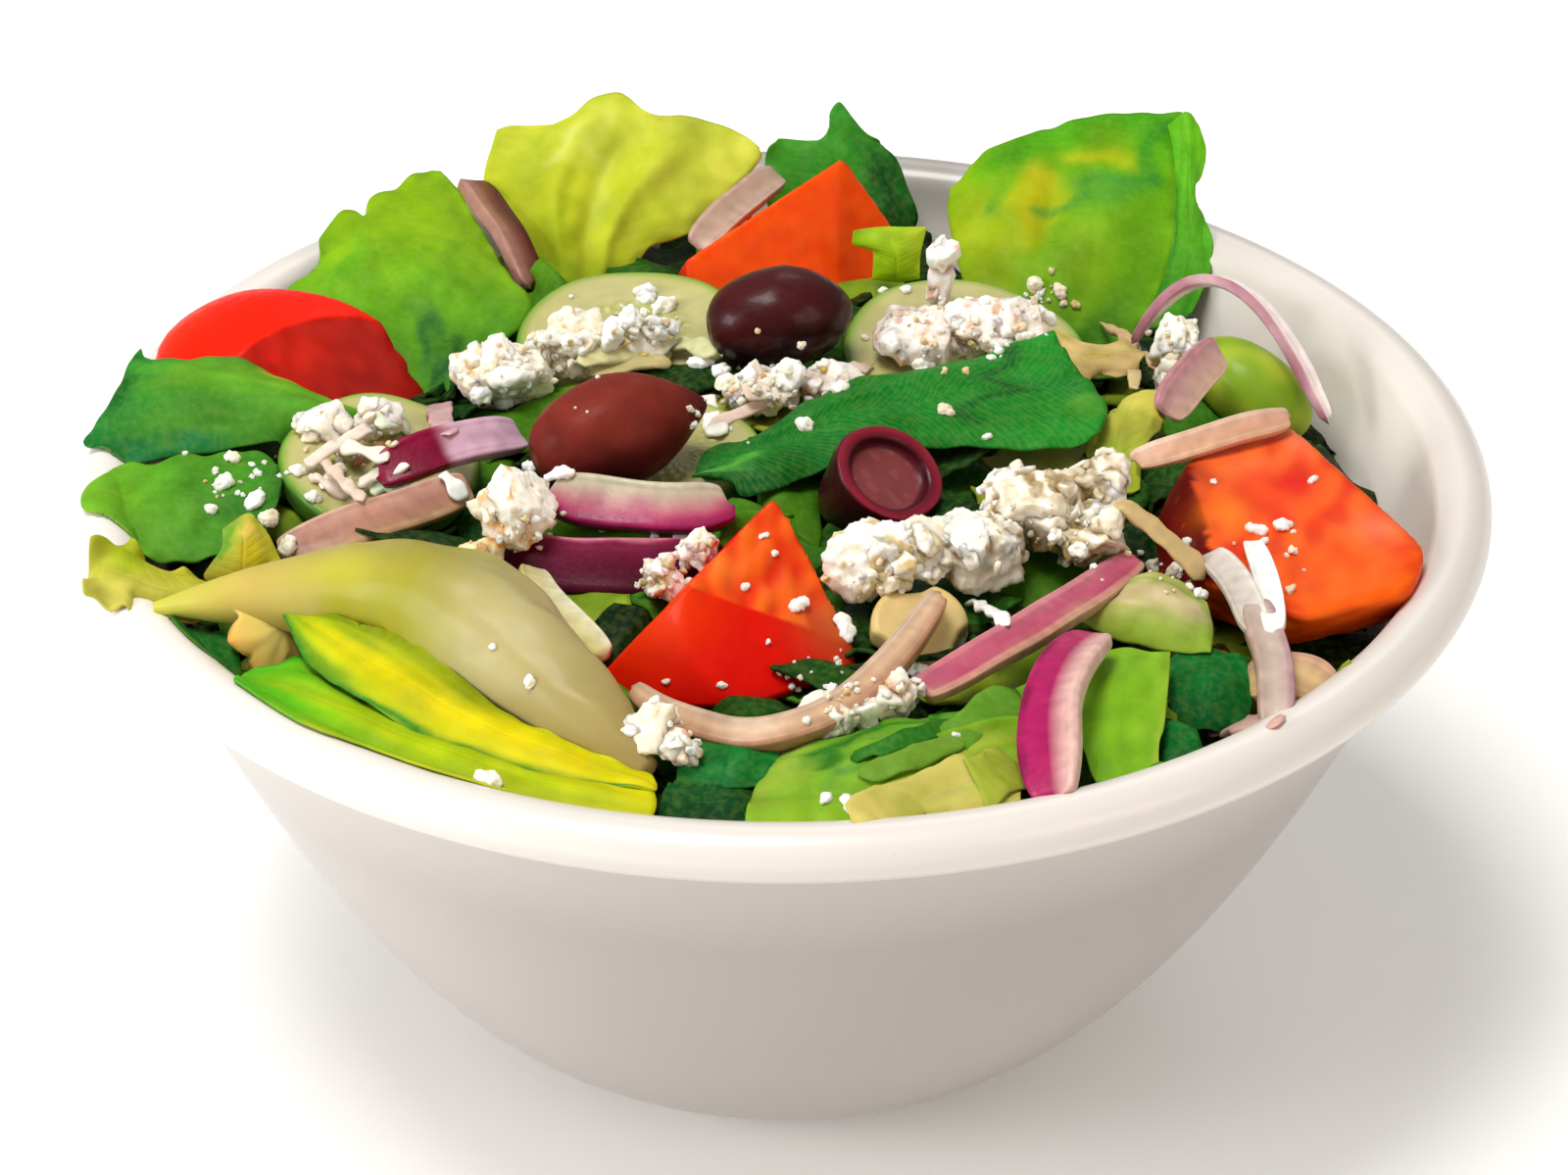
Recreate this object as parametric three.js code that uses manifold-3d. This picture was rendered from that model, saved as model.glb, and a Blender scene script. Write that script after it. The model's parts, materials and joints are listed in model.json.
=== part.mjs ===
// A Greek salad in its round white bowl: romaine leaves heaped to the rim, with tomato chunks,
// kalamata olives, a pepperoncino, cucumber slices, red onion strips and crumbled feta on top.
// Millimetres, +Z up. The origin is the centre of the foot's base; -Y is the side facing the eater.
import * as THREE from "three";
import { mergeVertices } from "three/addons/utils/BufferGeometryUtils.js";
import Module from "manifold-3d";

const wasm = await Module();
wasm.setup();

// ---------------------------------------------------------------- driving dimensions
const BOWL_HEIGHT = 94;
const LIP_RADIUS = 105; // outermost radius of the rolled lip
const LIP_HALF_WIDTH = 4.4; // of the bead, across
const LIP_HALF_HEIGHT = 4;
const WALL = 4;
const FOOT_RADIUS = 37.5;
const FOOT_WIDTH = 5; // width of the flat ring that it stands on
const FOOT_RECESS = 2.4; // height of the hollow under the base
const FOOT_HEIGHT = 3;
const BASE_THICKNESS = 4.2;
const WALL_SWELL = 0.57; // under 1 swells the wall outwards
const BOWL_SEGMENTS = 38;

const GAP = 0.4; // air between neighbouring pieces
const CORE_TOP = 92; // height of the packed leaves at the centre
const CORE_EDGE_DROP = 8; // how much lower they are at the wall
const CORE_HOLLOW = 11; // extra drop at the back right, where the wall shows
const WALL_CLEARANCE = 1.8; // between the packed leaves and the wall
const BLADE_THICKNESS = 1.1;
const MIDRIB_DEPTH = 4; // of the folded layers under a leaf's middle

// Facets: sides round a piece and rings along it; some hollows are cut with fewer.
const OLIVE_FACETS = { sides: 12, rings: 8, hollowRings: 6 };
const TOMATO_FACETS = { sides: 16, rings: 9 };
const PEPPER_FACETS = { sides: 12, rings: 12 };
const CUCUMBER_SIDES = 18;
const CORE_SIDES = 20;

const V = (p) => new THREE.Vector3(...p);
const radians = THREE.MathUtils.degToRad;
const lerp = THREE.MathUtils.lerp;

// ---------------------------------------------------------------- materials
const finish = (color, roughness) => new THREE.MeshStandardMaterial({ color, roughness, metalness: 0 });
const GLAZE = finish(0xece7e1, 0.22);
const LETTUCE = finish(0x5f9a2a, 0.5);
const TOMATO = finish(0xe4401a, 0.32);
const OLIVE_BROWN = finish(0x5a2620, 0.3);
const OLIVE_BLACK = finish(0x2a1216, 0.22);
const PEPPERONCINO = finish(0xbdb654, 0.3);
const CUCUMBER = finish(0xc9d39a, 0.35);
const ONION_PURPLE = finish(0xa8356f, 0.35);
const ONION_PALE = finish(0xd3b4a6, 0.4);
const FETA = finish(0xf6f0e2, 0.7);
const GREEN_PEPPER = finish(0x86b52c, 0.35);

// ---------------------------------------------------------------- closed meshes
const toGeometry = (points, index) => {
  const geometry = new THREE.BufferGeometry().setFromPoints(points);
  geometry.setIndex(index);
  return geometry;
};

// A closed skin over rings of points; each end is a fan about its centre.
function loft(rings) {
  const sides = rings[0].length;
  const points = rings.flat();
  const index = [];
  for (let r = 0; r < rings.length - 1; r++)
    for (let i = 0; i < sides; i++) {
      const a = r * sides + i;
      const b = r * sides + ((i + 1) % sides);
      index.push(a, b, a + sides, b, b + sides, a + sides);
    }
  for (const r of [0, rings.length - 1]) {
    const middle = rings[r].reduce((sum, p) => sum.add(p), new THREE.Vector3()).divideScalar(sides);
    const hub = points.push(middle) - 1;
    for (let i = 0; i < sides; i++) {
      const a = r * sides + i;
      const b = r * sides + ((i + 1) % sides);
      index.push(...(r ? [a, b, hub] : [b, a, hub]));
    }
  }
  return toGeometry(points, index);
}

// A thin closed solid between two grids of points, its rim stitched; both faces split alike.
function sheet(upper, lower) {
  const rows = upper.length;
  const columns = upper[0].length;
  const at = (r, c) => r * columns + c;
  const under = rows * columns;
  const index = [];
  for (let r = 0; r < rows - 1; r++)
    for (let c = 0; c < columns - 1; c++)
      for (const [i, j, k] of [
        [at(r, c), at(r + 1, c), at(r, c + 1)],
        [at(r + 1, c), at(r + 1, c + 1), at(r, c + 1)],
      ])
        index.push(i, j, k, under + i, under + k, under + j);
  const rim = [];
  for (let r = 0; r < rows - 1; r++) rim.push(at(r, 0));
  for (let c = 0; c < columns - 1; c++) rim.push(at(rows - 1, c));
  for (let r = rows - 1; r > 0; r--) rim.push(at(r, columns - 1));
  for (let c = columns - 1; c > 0; c--) rim.push(at(0, c));
  rim.forEach((i, n) => {
    const j = rim[(n + 1) % rim.length];
    index.push(j, i, under + i, j, under + i, under + j);
  });
  return toGeometry([...upper.flat(), ...lower.flat()], index);
}

function toSolid(geometry) {
  const bare = new THREE.BufferGeometry().setAttribute("position", geometry.getAttribute("position"));
  if (geometry.index) bare.setIndex(geometry.index);
  const merged = mergeVertices(bare, 1e-3);
  return new wasm.Manifold(
    new wasm.Mesh({
      numProp: 3,
      vertProperties: new Float32Array(merged.attributes.position.array),
      triVerts: new Uint32Array(merged.index.array),
    }),
  );
}

function fromSolid(solid) {
  const mesh = solid.getMesh();
  const geometry = new THREE.BufferGeometry();
  geometry.setAttribute("position", new THREE.BufferAttribute(new Float32Array(mesh.vertProperties), 3));
  geometry.setIndex(new THREE.BufferAttribute(new Uint32Array(mesh.triVerts), 1));
  return geometry;
}

// The largest body of a solid: scraps that a cut leaves loose are dropped.
const largest = (solid) =>
  solid.decompose().reduce((best, body) => (body.volume() > best.volume() ? body : best));

// ---------------------------------------------------------------- curves
// Places along a bowed line: point p, direction t, broad-face normal n and s across.
function spine({ from, to, bow = [0, 0, 0], face }, steps, run = 0) {
  const [a, b] = [V(from), V(to)];
  const middle = a.clone().lerp(b, 0.5).addScaledVector(V(bow), 2);
  const curve = new THREE.QuadraticBezierCurve3(a, middle, b);
  return Array.from({ length: steps + 1 }, (_, i) => {
    const share = i / steps;
    const t = curve.getTangent(share);
    const n = V(face).addScaledVector(t, -V(face).dot(t)).normalize();
    const p = curve.getPoint(share).addScaledVector(t, run * (2 * share - 1));
    return { share, p, t, n, s: n.clone().cross(t) };
  });
}

const offset = ({ p, s, n }, across, up) => p.clone().addScaledVector(s, across).addScaledVector(n, up);

// ---------------------------------------------------------------- bowl
const wallTop = BOWL_HEIGHT - 2 * LIP_HALF_HEIGHT;
const wallTopRadius = LIP_RADIUS - LIP_HALF_WIDTH * 1.5;
const outerRadius = (z) =>
  FOOT_RADIUS +
  (wallTopRadius - FOOT_RADIUS) * Math.max(0, (z - FOOT_HEIGHT) / (wallTop - FOOT_HEIGHT)) ** WALL_SWELL;
const innerRadius = (z) => outerRadius(z) - WALL;

function bowlGeometry(grow) {
  const floor = FOOT_RECESS + BASE_THICKNESS + grow;
  const flatRadius = 0.82 * innerRadius(floor + 2);
  const profile = [new THREE.Vector2(0, floor), new THREE.Vector2(flatRadius, floor)];
  const wallSteps = 5;
  const wallShare = (i) => (i / wallSteps) ** 1.4; // the steps crowd towards the curved foot
  for (let i = 1; i <= wallSteps; i++) {
    const z = lerp(floor + 2, wallTop, wallShare(i));
    profile.push(new THREE.Vector2(innerRadius(z) - grow, z));
  }
  // The lip is a bead round its own centre, from the inner wall over the crest to the outer wall.
  const lipSteps = 5;
  for (let i = 0; i <= lipSteps; i++) {
    const turn = radians(lerp(170, -95, i / lipSteps));
    profile.push(
      new THREE.Vector2(
        LIP_RADIUS - LIP_HALF_WIDTH + (LIP_HALF_WIDTH + grow) * Math.cos(turn),
        BOWL_HEIGHT - LIP_HALF_HEIGHT + (LIP_HALF_HEIGHT + grow) * Math.sin(turn),
      ),
    );
  }
  for (let i = wallSteps; i >= 0; i--) {
    const z = lerp(FOOT_HEIGHT, wallTop, wallShare(i));
    profile.push(new THREE.Vector2(outerRadius(z) + grow, z));
  }
  const footInner = FOOT_RADIUS - FOOT_WIDTH;
  profile.push(
    new THREE.Vector2(FOOT_RADIUS - 0.6, 0),
    new THREE.Vector2(footInner, 0),
    new THREE.Vector2(footInner - 1.5, FOOT_RECESS),
    new THREE.Vector2(0, FOOT_RECESS),
  );
  // The profile runs from the axis inside to the axis below, so it is turned round to face outwards.
  return new THREE.LatheGeometry(profile.reverse(), BOWL_SEGMENTS).rotateX(Math.PI / 2);
}

// ---------------------------------------------------------------- leaves
// Height of the packed core under the visible leaves.
function coreTop(x, y) {
  const reach = Math.min(1, Math.hypot(x, y) / innerRadius(CORE_TOP - CORE_EDGE_DROP));
  const toBackRight = Math.cos(Math.atan2(y, x) - radians(32));
  return (
    CORE_TOP -
    CORE_EDGE_DROP * reach ** 3 -
    CORE_HOLLOW * reach ** 2 * Math.max(0, toBackRight) ** 3 +
    1.6 * Math.sin(x / 7.1) * Math.cos(y / 8.3) * (1 - reach ** 4)
  );
}

function coreGeometry() {
  const ringAt = (share, pointAt) =>
    Array.from({ length: CORE_SIDES }, (_, i) => {
      const turn = (2 * Math.PI * i) / CORE_SIDES;
      return pointAt(Math.cos(turn), Math.sin(turn), share);
    });
  const edgeHeight = (x, y) => coreTop(x * LIP_RADIUS, y * LIP_RADIUS);
  const onTop = (x, y, share) => {
    const edge = edgeHeight(x, y);
    const r = share * (innerRadius(edge) - WALL_CLEARANCE);
    return V([x * r, y * r, share === 1 ? edge : coreTop(x * r, y * r)]);
  };
  const onWall = (x, y, share) => {
    const floor = FOOT_RECESS + BASE_THICKNESS + 3;
    const z = lerp(edgeHeight(x, y), floor, share);
    const r = (innerRadius(z) - WALL_CLEARANCE) * (share === 1 ? 0.75 : 1);
    return V([x * r, y * r, z]);
  };
  return loft([
    ...[1, 0.55].map((share) => ringAt(share, onWall)),
    ...[1, 0.85, 0.64, 0.4, 0.15].map((share) => ringAt(share, onTop)),
  ]);
}

// A leaf lies along a bowed line. Its half width swells from the base to the tip share, its margins
// curl towards the face by cup degrees (away if negative), ripple by ruffle and trail by arch.
function leafGeometry(leaf) {
  const { width, base = 0.5, tip = 0.3, fullness = 0.7, cup = 20, arch = 0, ruffle = 1.5, waves = 3 } = leaf;
  const { depth = MIDRIB_DEPTH, steps = 4, columns = width < 18 ? 2 : 4 } = leaf;
  const curl = radians(cup || 0.01);
  const [upper, lower] = [[], []];
  for (const place of spine(leaf, steps)) {
    const t = place.share;
    const share = lerp(base, tip, t);
    const half = (width / 2) * (share + (1 - share) * Math.sin(Math.PI * t) ** fullness);
    const [top, bottom] = [[], []];
    for (let c = 0; c <= columns; c++) {
      const u = (2 * c) / columns - 1;
      const turn = curl * u;
      const ripple = ruffle * Math.abs(u) ** 3 * Math.sin(2 * Math.PI * waves * t + 1.3 * Math.sign(u));
      const across = (half * Math.sin(turn)) / curl;
      const lift = (half * (1 - Math.cos(turn))) / curl + ripple;
      const middle = offset(place, across, lift).addScaledVector(place.t, -arch * u * u * t);
      const normal = place.n.clone().multiplyScalar(Math.cos(turn)).addScaledVector(place.s, -Math.sin(turn));
      const rib = (depth - BLADE_THICKNESS) * Math.exp(-((u / 0.3) ** 2)) * 4 * t * (1 - t);
      top.push(middle.clone().addScaledVector(normal, BLADE_THICKNESS / 2));
      bottom.push(middle.addScaledVector(normal, -BLADE_THICKNESS / 2 - rib));
    }
    upper.push(top);
    lower.push(bottom);
  }
  return sheet(upper, lower);
}

const LEAVES = {
  back_left: {
    from: [-44, 31, 86], to: [-67, 75, 100], bow: [3, 0, 2], face: [0.45, -0.75, 0.6],
    width: 34, base: 0.4, tip: 0.7, cup: 16, arch: 6, steps: 6,
  },
  back_yellow: {
    from: [-31, 52, 86], to: [-23, 88, 109], bow: [0, 2, 2], face: [0, -0.8, 0.6],
    width: 47, base: 0.35, tip: 0.9, cup: -24, arch: 7, steps: 6,
  },
  back_dark: {
    from: [10, 77, 84], to: [8, 93, 106], bow: [0, 1, 1], face: [0, -0.8, 0.6],
    width: 26, base: 0.9, tip: 0.12, fullness: 1.4, cup: 12,
  },
  back_right: {
    from: [47, 34, 80], to: [49, 86, 104], bow: [-1, 2, 4], face: [-0.1, -0.8, 0.6],
    width: 46, base: 0.4, tip: 0.85, cup: 20, arch: 8, steps: 6,
  },
  back_right_fold: {
    from: [65, 50, 84], to: [63, 76, 106], bow: [1, 2, 1], face: [-0.55, -0.7, 0.4],
    width: 20, base: 0.7, tip: 0.6, cup: 28,
  },
  left_folded: {
    from: [-100, 10, 98], to: [-60, 9, 93], bow: [0, 1, -1.5], face: [0, -0.35, 0.95],
    width: 28, base: 0.85, tip: 0.1, fullness: 0.9, cup: -24, ruffle: 1, depth: 8,
  },
  left_low: {
    from: [-102, -14, 96], to: [-64, -16, 91], bow: [0, 0, -1], face: [-0.1, -0.3, 0.95],
    width: 30, base: 0.6, tip: 0.6, cup: -14, depth: 7,
  },
  left_curly: {
    from: [-74, -41, 90], to: [-99, -33, 97], bow: [0, 0, -1], face: [0, -0.3, 0.95],
    width: 17, base: 0.5, tip: 0.8, cup: -10, ruffle: 2, depth: 9,
  },
  left_yellow: {
    from: [-77, -34, 87], to: [-75, -23, 98], face: [0.1, -0.9, 0.3],
    width: 13, base: 1, tip: 0.15, cup: 20, ruffle: 0.6,
  },
  front_left: {
    from: [-72, -51, 91], to: [-22, -87, 88], bow: [0, -5.5, 1], face: [-0.35, -0.55, 0.8],
    width: 24, base: 0.45, tip: 0.5, cup: 14, ruffle: 0.8, depth: 10, steps: 6,
  },
  front_dark: {
    from: [-11, -92, 86], to: [-7, -78, 89], face: [0, -0.6, 0.8],
    width: 15, base: 1, tip: 1, cup: 4, ruffle: 0.4,
  },
  front: {
    from: [-6, -84, 88], to: [45, -72, 91], bow: [2, -2, 1.5], face: [0, -0.4, 0.9],
    width: 27, base: 0.7, tip: 0.6, cup: -16, steps: 6,
  },
  front_right: {
    from: [47, -53, 93], to: [45, -86, 89], bow: [1, 0, 1.5], face: [0.1, -0.3, 0.95],
    width: 16, base: 0.9, tip: 0.9, cup: -18, ruffle: 0.6,
  },
  pale_rib: {
    from: [42, -42, 92], to: [62, -51, 92], bow: [0, 0, 1.5], face: [0.1, -0.5, 0.85],
    width: 13, base: 0.8, tip: 0.7, cup: -35, ruffle: 0.3, depth: 5,
  },
  right_dark: {
    from: [54, -60, 88], to: [70, -62, 88], bow: [0, 0, 1], face: [0.1, -0.5, 0.85],
    width: 20, base: 0.8, tip: 0.6, cup: -16, ruffle: 1,
  },
  middle_dark: {
    from: [-13, -12, 95], to: [48, 11, 96], bow: [-1, 2, 2.5], face: [0.15, -0.65, 0.75],
    width: 22, base: 0.35, tip: 0.9, cup: -26, ruffle: 0.6, depth: 6, steps: 6,
  },
  middle_pale: {
    from: [46, -5, 91], to: [62, 8, 95], face: [0, -0.6, 0.8],
    width: 16, base: 0.6, tip: 0.5, cup: 12,
  },
  by_back_tomato: {
    from: [16, 50, 90], to: [24, 56, 101], face: [0, -0.9, 0.4],
    width: 14, base: 0.9, tip: 0.9, cup: 5, ruffle: 0.4,
  },
  right_wall: {
    from: [58, 16, 80], to: [84, 30, 84], bow: [0, 0, 2], face: [-0.2, -0.3, 0.95],
    width: 30, base: 0.7, tip: 0.5, cup: 14,
  },
};

// ---------------------------------------------------------------- toppings
// Each shape is made twice: at its size, and grown a little, with half the sides, as the hollow
// that it leaves in the pieces laid after it. A hollow's sides lie outside the round they stand for.
function ring(place, sides, radius, grow) {
  const count = grow ? Math.ceil(sides / 2) : sides;
  const reach = grow ? (radius + grow) / Math.cos(Math.PI / count) : radius;
  return Array.from({ length: count }, (_, i) => {
    const turn = (2 * Math.PI * i) / count;
    return offset(place, reach * Math.cos(turn), reach * Math.sin(turn));
  });
}

// An olive lies along X, a little pointed at its +X end.
function oliveGeometry({ length, radius }, grow) {
  const rings = grow ? OLIVE_FACETS.hollowRings : OLIVE_FACETS.rings;
  const axis = { s: V([0, 1, 0]), n: V([0, 0, 1]) };
  return loft(
    Array.from({ length: rings }, (_, i) => {
      const turn = lerp(0.2, Math.PI - 0.16, i / (rings - 1));
      const x = (-length / 2 - 1.5 * grow) * Math.cos(turn);
      const swell = Math.sin(turn) ** 0.92 * (1 - 0.1 * Math.max(0, x / length) ** 1.5);
      return ring({ ...axis, p: V([x, 0, 0]) }, OLIVE_FACETS.sides, radius * swell, grow);
    }),
  );
}

// A pitted half: cut level with its middle, with the stone's hollow in the cut face.
function oliveHalf(olive, grow) {
  const whole = toSolid(oliveGeometry(olive, grow));
  const lid = toSolid(new THREE.BoxGeometry(60, 60, 30).translate(0, 0, 15 + grow));
  const half = whole.subtract(lid);
  if (grow) return half;
  const stone = { length: olive.length * 0.56, radius: olive.radius * 0.55 };
  return half.subtract(toSolid(oliveGeometry(stone, 0)));
}

// A tomato chunk is a ball cut by flat knife strokes, each [direction, distance from its centre].
function tomatoSolid({ size, cuts }, grow) {
  const { sides, rings } = TOMATO_FACETS;
  const ball = new THREE.SphereGeometry(1, sides, rings).scale(...size.map((r) => r + 1.5 * grow));
  let solid = toSolid(ball);
  for (const [direction, distance] of cuts) {
    const block = new THREE.BoxGeometry(200, 200, 100).translate(0, 0, 50 + distance + grow);
    const turn = new THREE.Quaternion().setFromUnitVectors(V([0, 0, 1]), V(direction).normalize());
    solid = solid.subtract(toSolid(block.applyQuaternion(turn)));
  }
  return solid;
}

// A cucumber slice lies flat about Z, its rim a little rounded.
function cucumberGeometry({ radius, thickness }, grow) {
  const bevel = grow ? 0 : 1;
  const half = thickness / 2 + grow;
  const edge = [
    [radius - bevel, -half],
    ...(grow ? [] : [[radius, bevel - half], [radius, half - bevel]]),
    [radius - bevel, half],
  ];
  const axis = { s: V([1, 0, 0]), n: V([0, 1, 0]) };
  return loft(edge.map(([reach, z]) => ring({ ...axis, p: V([0, 0, z]) }, CUCUMBER_SIDES, reach, grow)));
}

// An onion strip: one layer of a slice, broad across its line and thin along its face direction.
function onionGeometry(strip, grow) {
  const { width, thickness, steps = 7 } = strip;
  const corners = [[1, 0], [0.7, 1], [-0.7, 1], [-1, 0], [-0.7, -1], [0.7, -1]];
  const section = grow ? [[1, -1], [1, 1], [-1, 1], [-1, -1]] : corners;
  return loft(
    spine(strip, steps, grow).map((place) => {
      const taper = 1 - 0.35 * Math.abs(2 * place.share - 1) ** 6;
      const [w, h] = [(width / 2) * taper + grow, (thickness / 2) * taper + grow];
      return section.map(([across, up]) => offset(place, across * w, up * h));
    }),
  );
}

// The pepperoncino: a stem, a star of sepals at its shoulder and a body that narrows to its tip.
const PEPPER_LINE = [
  { at: [-92, -44, 95], radius: 2.3 },
  { at: [-80, -45.5, 96], radius: 2.7 },
  { at: [-70, -45.5, 96.5], radius: 4.5 },
  { at: [-55, -47.5, 97], radius: 8.8 },
  { at: [-43, -55, 96.5], radius: 10.4 },
  { at: [-32, -67, 95], radius: 7.8 },
  { at: [-24, -76, 93], radius: 4.8 },
  { at: [-18, -82.5, 90.5], radius: 1.6 },
];
const SEPALS = {
  at: [-71, -48, 94],
  facing: [0.7, -0.5, 0.5],
  count: 5,
  reach: 8.5,
  waist: 4,
  thickness: 1.6,
};

function pepperSolid(grow) {
  const line = new THREE.CatmullRomCurve3(PEPPER_LINE.map(({ at }) => V(at)));
  const radii = new THREE.SplineCurve(PEPPER_LINE.map(({ radius }, i) => new THREE.Vector2(i, radius)));
  const places = Array.from({ length: PEPPER_FACETS.rings }, (_, i) => {
    const share = i / (PEPPER_FACETS.rings - 1);
    const t = line.getTangent(share);
    const n = V([0, 0, 1]).addScaledVector(t, -t.z).normalize();
    const p = line.getPoint(share).addScaledVector(t, grow * (2 * share - 1));
    return { share, n, p, s: n.clone().cross(t) };
  });
  const radiusAt = ({ share }) => radii.getPoint(share).y;
  const body = toSolid(
    loft(places.map((place) => ring(place, PEPPER_FACETS.sides, radiusAt(place), grow))),
  );
  const points = Array.from({ length: 2 * SEPALS.count }, (_, i) => {
    const radius = (i % 2 ? SEPALS.waist : SEPALS.reach) + grow;
    const turn = (Math.PI * i) / SEPALS.count + 0.3;
    return V([radius * Math.cos(turn), radius * Math.sin(turn), 0]);
  });
  const half = SEPALS.thickness / 2 + grow;
  const star = loft([-half, half].map((z) => points.map((p) => p.clone().setZ(z))));
  const turned = new THREE.Quaternion().setFromUnitVectors(V([0, 0, 1]), V(SEPALS.facing).normalize());
  return body.add(toSolid(star.applyQuaternion(turned).translate(...SEPALS.at)));
}

// Repeatable noise from -1 to 1 for a whole number.
const noise = (n) => 2 * (Math.abs(Math.sin(n * 127.1 + 311.7) * 43758.5453) % 1) - 1;

// A lump of feta: a faceted ball pushed towards a block and roughened. Its hollow is the block.
const SMALL_LUMP = 4.3; // half size under which a lump has fewer facets
function lumpGeometry(half, seed, grow) {
  if (grow) return new THREE.BoxGeometry(...half.map((size) => 2 * (size + grow)));
  const facets = new THREE.IcosahedronGeometry(1, Math.max(...half) < SMALL_LUMP ? 0 : 1);
  const bare = new THREE.BufferGeometry().setAttribute("position", facets.getAttribute("position"));
  const ball = mergeVertices(bare, 1e-3);
  const position = ball.getAttribute("position");
  for (let i = 0; i < position.count; i++) {
    const p = new THREE.Vector3().fromBufferAttribute(position, i);
    const block = p.clone().divideScalar(Math.max(...p.toArray().map(Math.abs)));
    p.lerp(block, 0.45).multiplyScalar(0.9 + 0.1 * noise(seed * 57 + i)).clampScalar(-1, 1);
    position.setXYZ(i, ...p.toArray().map((v, axis) => v * half[axis]));
  }
  return ball;
}

// A cluster of lumps pressed together, each [x, y, z, half sizes...] from the cluster's centre.
const fetaSolid = ({ lumps, seed }, grow) =>
  lumps
    .map(([x, y, z, ...half], i) => {
      const lump = lumpGeometry(half, seed + i, grow).rotateZ(seed + 2 * i);
      return toSolid(lump.translate(x, y, z));
    })
    .reduce((whole, lump) => whole.add(lump));

// ---------------------------------------------------------------- where each topping lies
const OLIVES = {
  olive_black: { at: [-1, 29, 101], yaw: 12, pitch: -4, length: 22, radius: 7.9, material: OLIVE_BLACK },
  olive_brown: { at: [-25, -5.5, 100.5], yaw: 24, pitch: -6, length: 26, radius: 8.2, material: OLIVE_BROWN },
};
const OLIVE_HALF = { at: [14.5, -17, 99.5], yaw: 20, pitch: 10, roll: 36, length: 18, radius: 8 };
const TOMATOES = {
  tomato_front: {
    at: [-10, -37, 78.5], size: [26.5, 26.5, 26.5],
    cuts: [
      [[0.39, -0.24, 0.89], 22], [[0.33, -0.6, 0.73], 23.4], [[-0.72, 0.35, 0.6], 11.4],
      [[0.9, 0.43, 0], 12.3], [[0, 0, -1], -9.5],
    ],
  },
  tomato_right: {
    at: [72, -26, 94.5], size: [19.8, 27, 15],
    cuts: [
      [[0.03, -0.07, 1], 2.6], [[0.88, 0.475, 0], 14.8], [[-0.63, 0.775, 0], 20.3],
      [[-0.99, -0.15, 0], 14.1], [[-0.62, -0.785, 0], 20.3], [[0, 0, -1], 9],
    ],
  },
  tomato_back: {
    at: [3, 66, 91.5], size: [20, 22, 19],
    cuts: [
      [[0.28, -0.79, 0.54], 2.9], [[0.6, -0.66, 0.45], 4.5], [[-0.58, 0.5, 0.64], 9.8],
      [[0.8, 0.3, 0.5], 15.2], [[0, 1, 0], 9], [[0, 0, -1], 6],
    ],
  },
  tomato_left: {
    at: [-76, 29, 90], size: [22, 20, 13],
    cuts: [[[0.45, -0.75, 0.5], 10.5], [[0.43, 0.9, 0], 7.3], [[-0.45, 0.2, -0.9], 4.5], [[0, 0, -1], 7]],
  },
};
const CUCUMBERS = {
  cucumber_back_left: { at: [-24, 38, 91.5], roll: 9, pitch: -4, radius: 17.5, thickness: 4.5 },
  cucumber_back_right: { at: [28, 35, 90.5], roll: 8, pitch: 3, radius: 19, thickness: 4.5 },
  cucumber_left: { at: [-60, -2, 92], roll: 12, pitch: 6, radius: 15, thickness: 4.2 },
  cucumber_middle: { at: [-16, 1, 91.5], roll: 8, pitch: -3, radius: 13, thickness: 4.2 },
  cucumber_front: { at: [19, -47, 91.5], roll: 30, pitch: 4, radius: 7, thickness: 4.5 },
};
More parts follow.
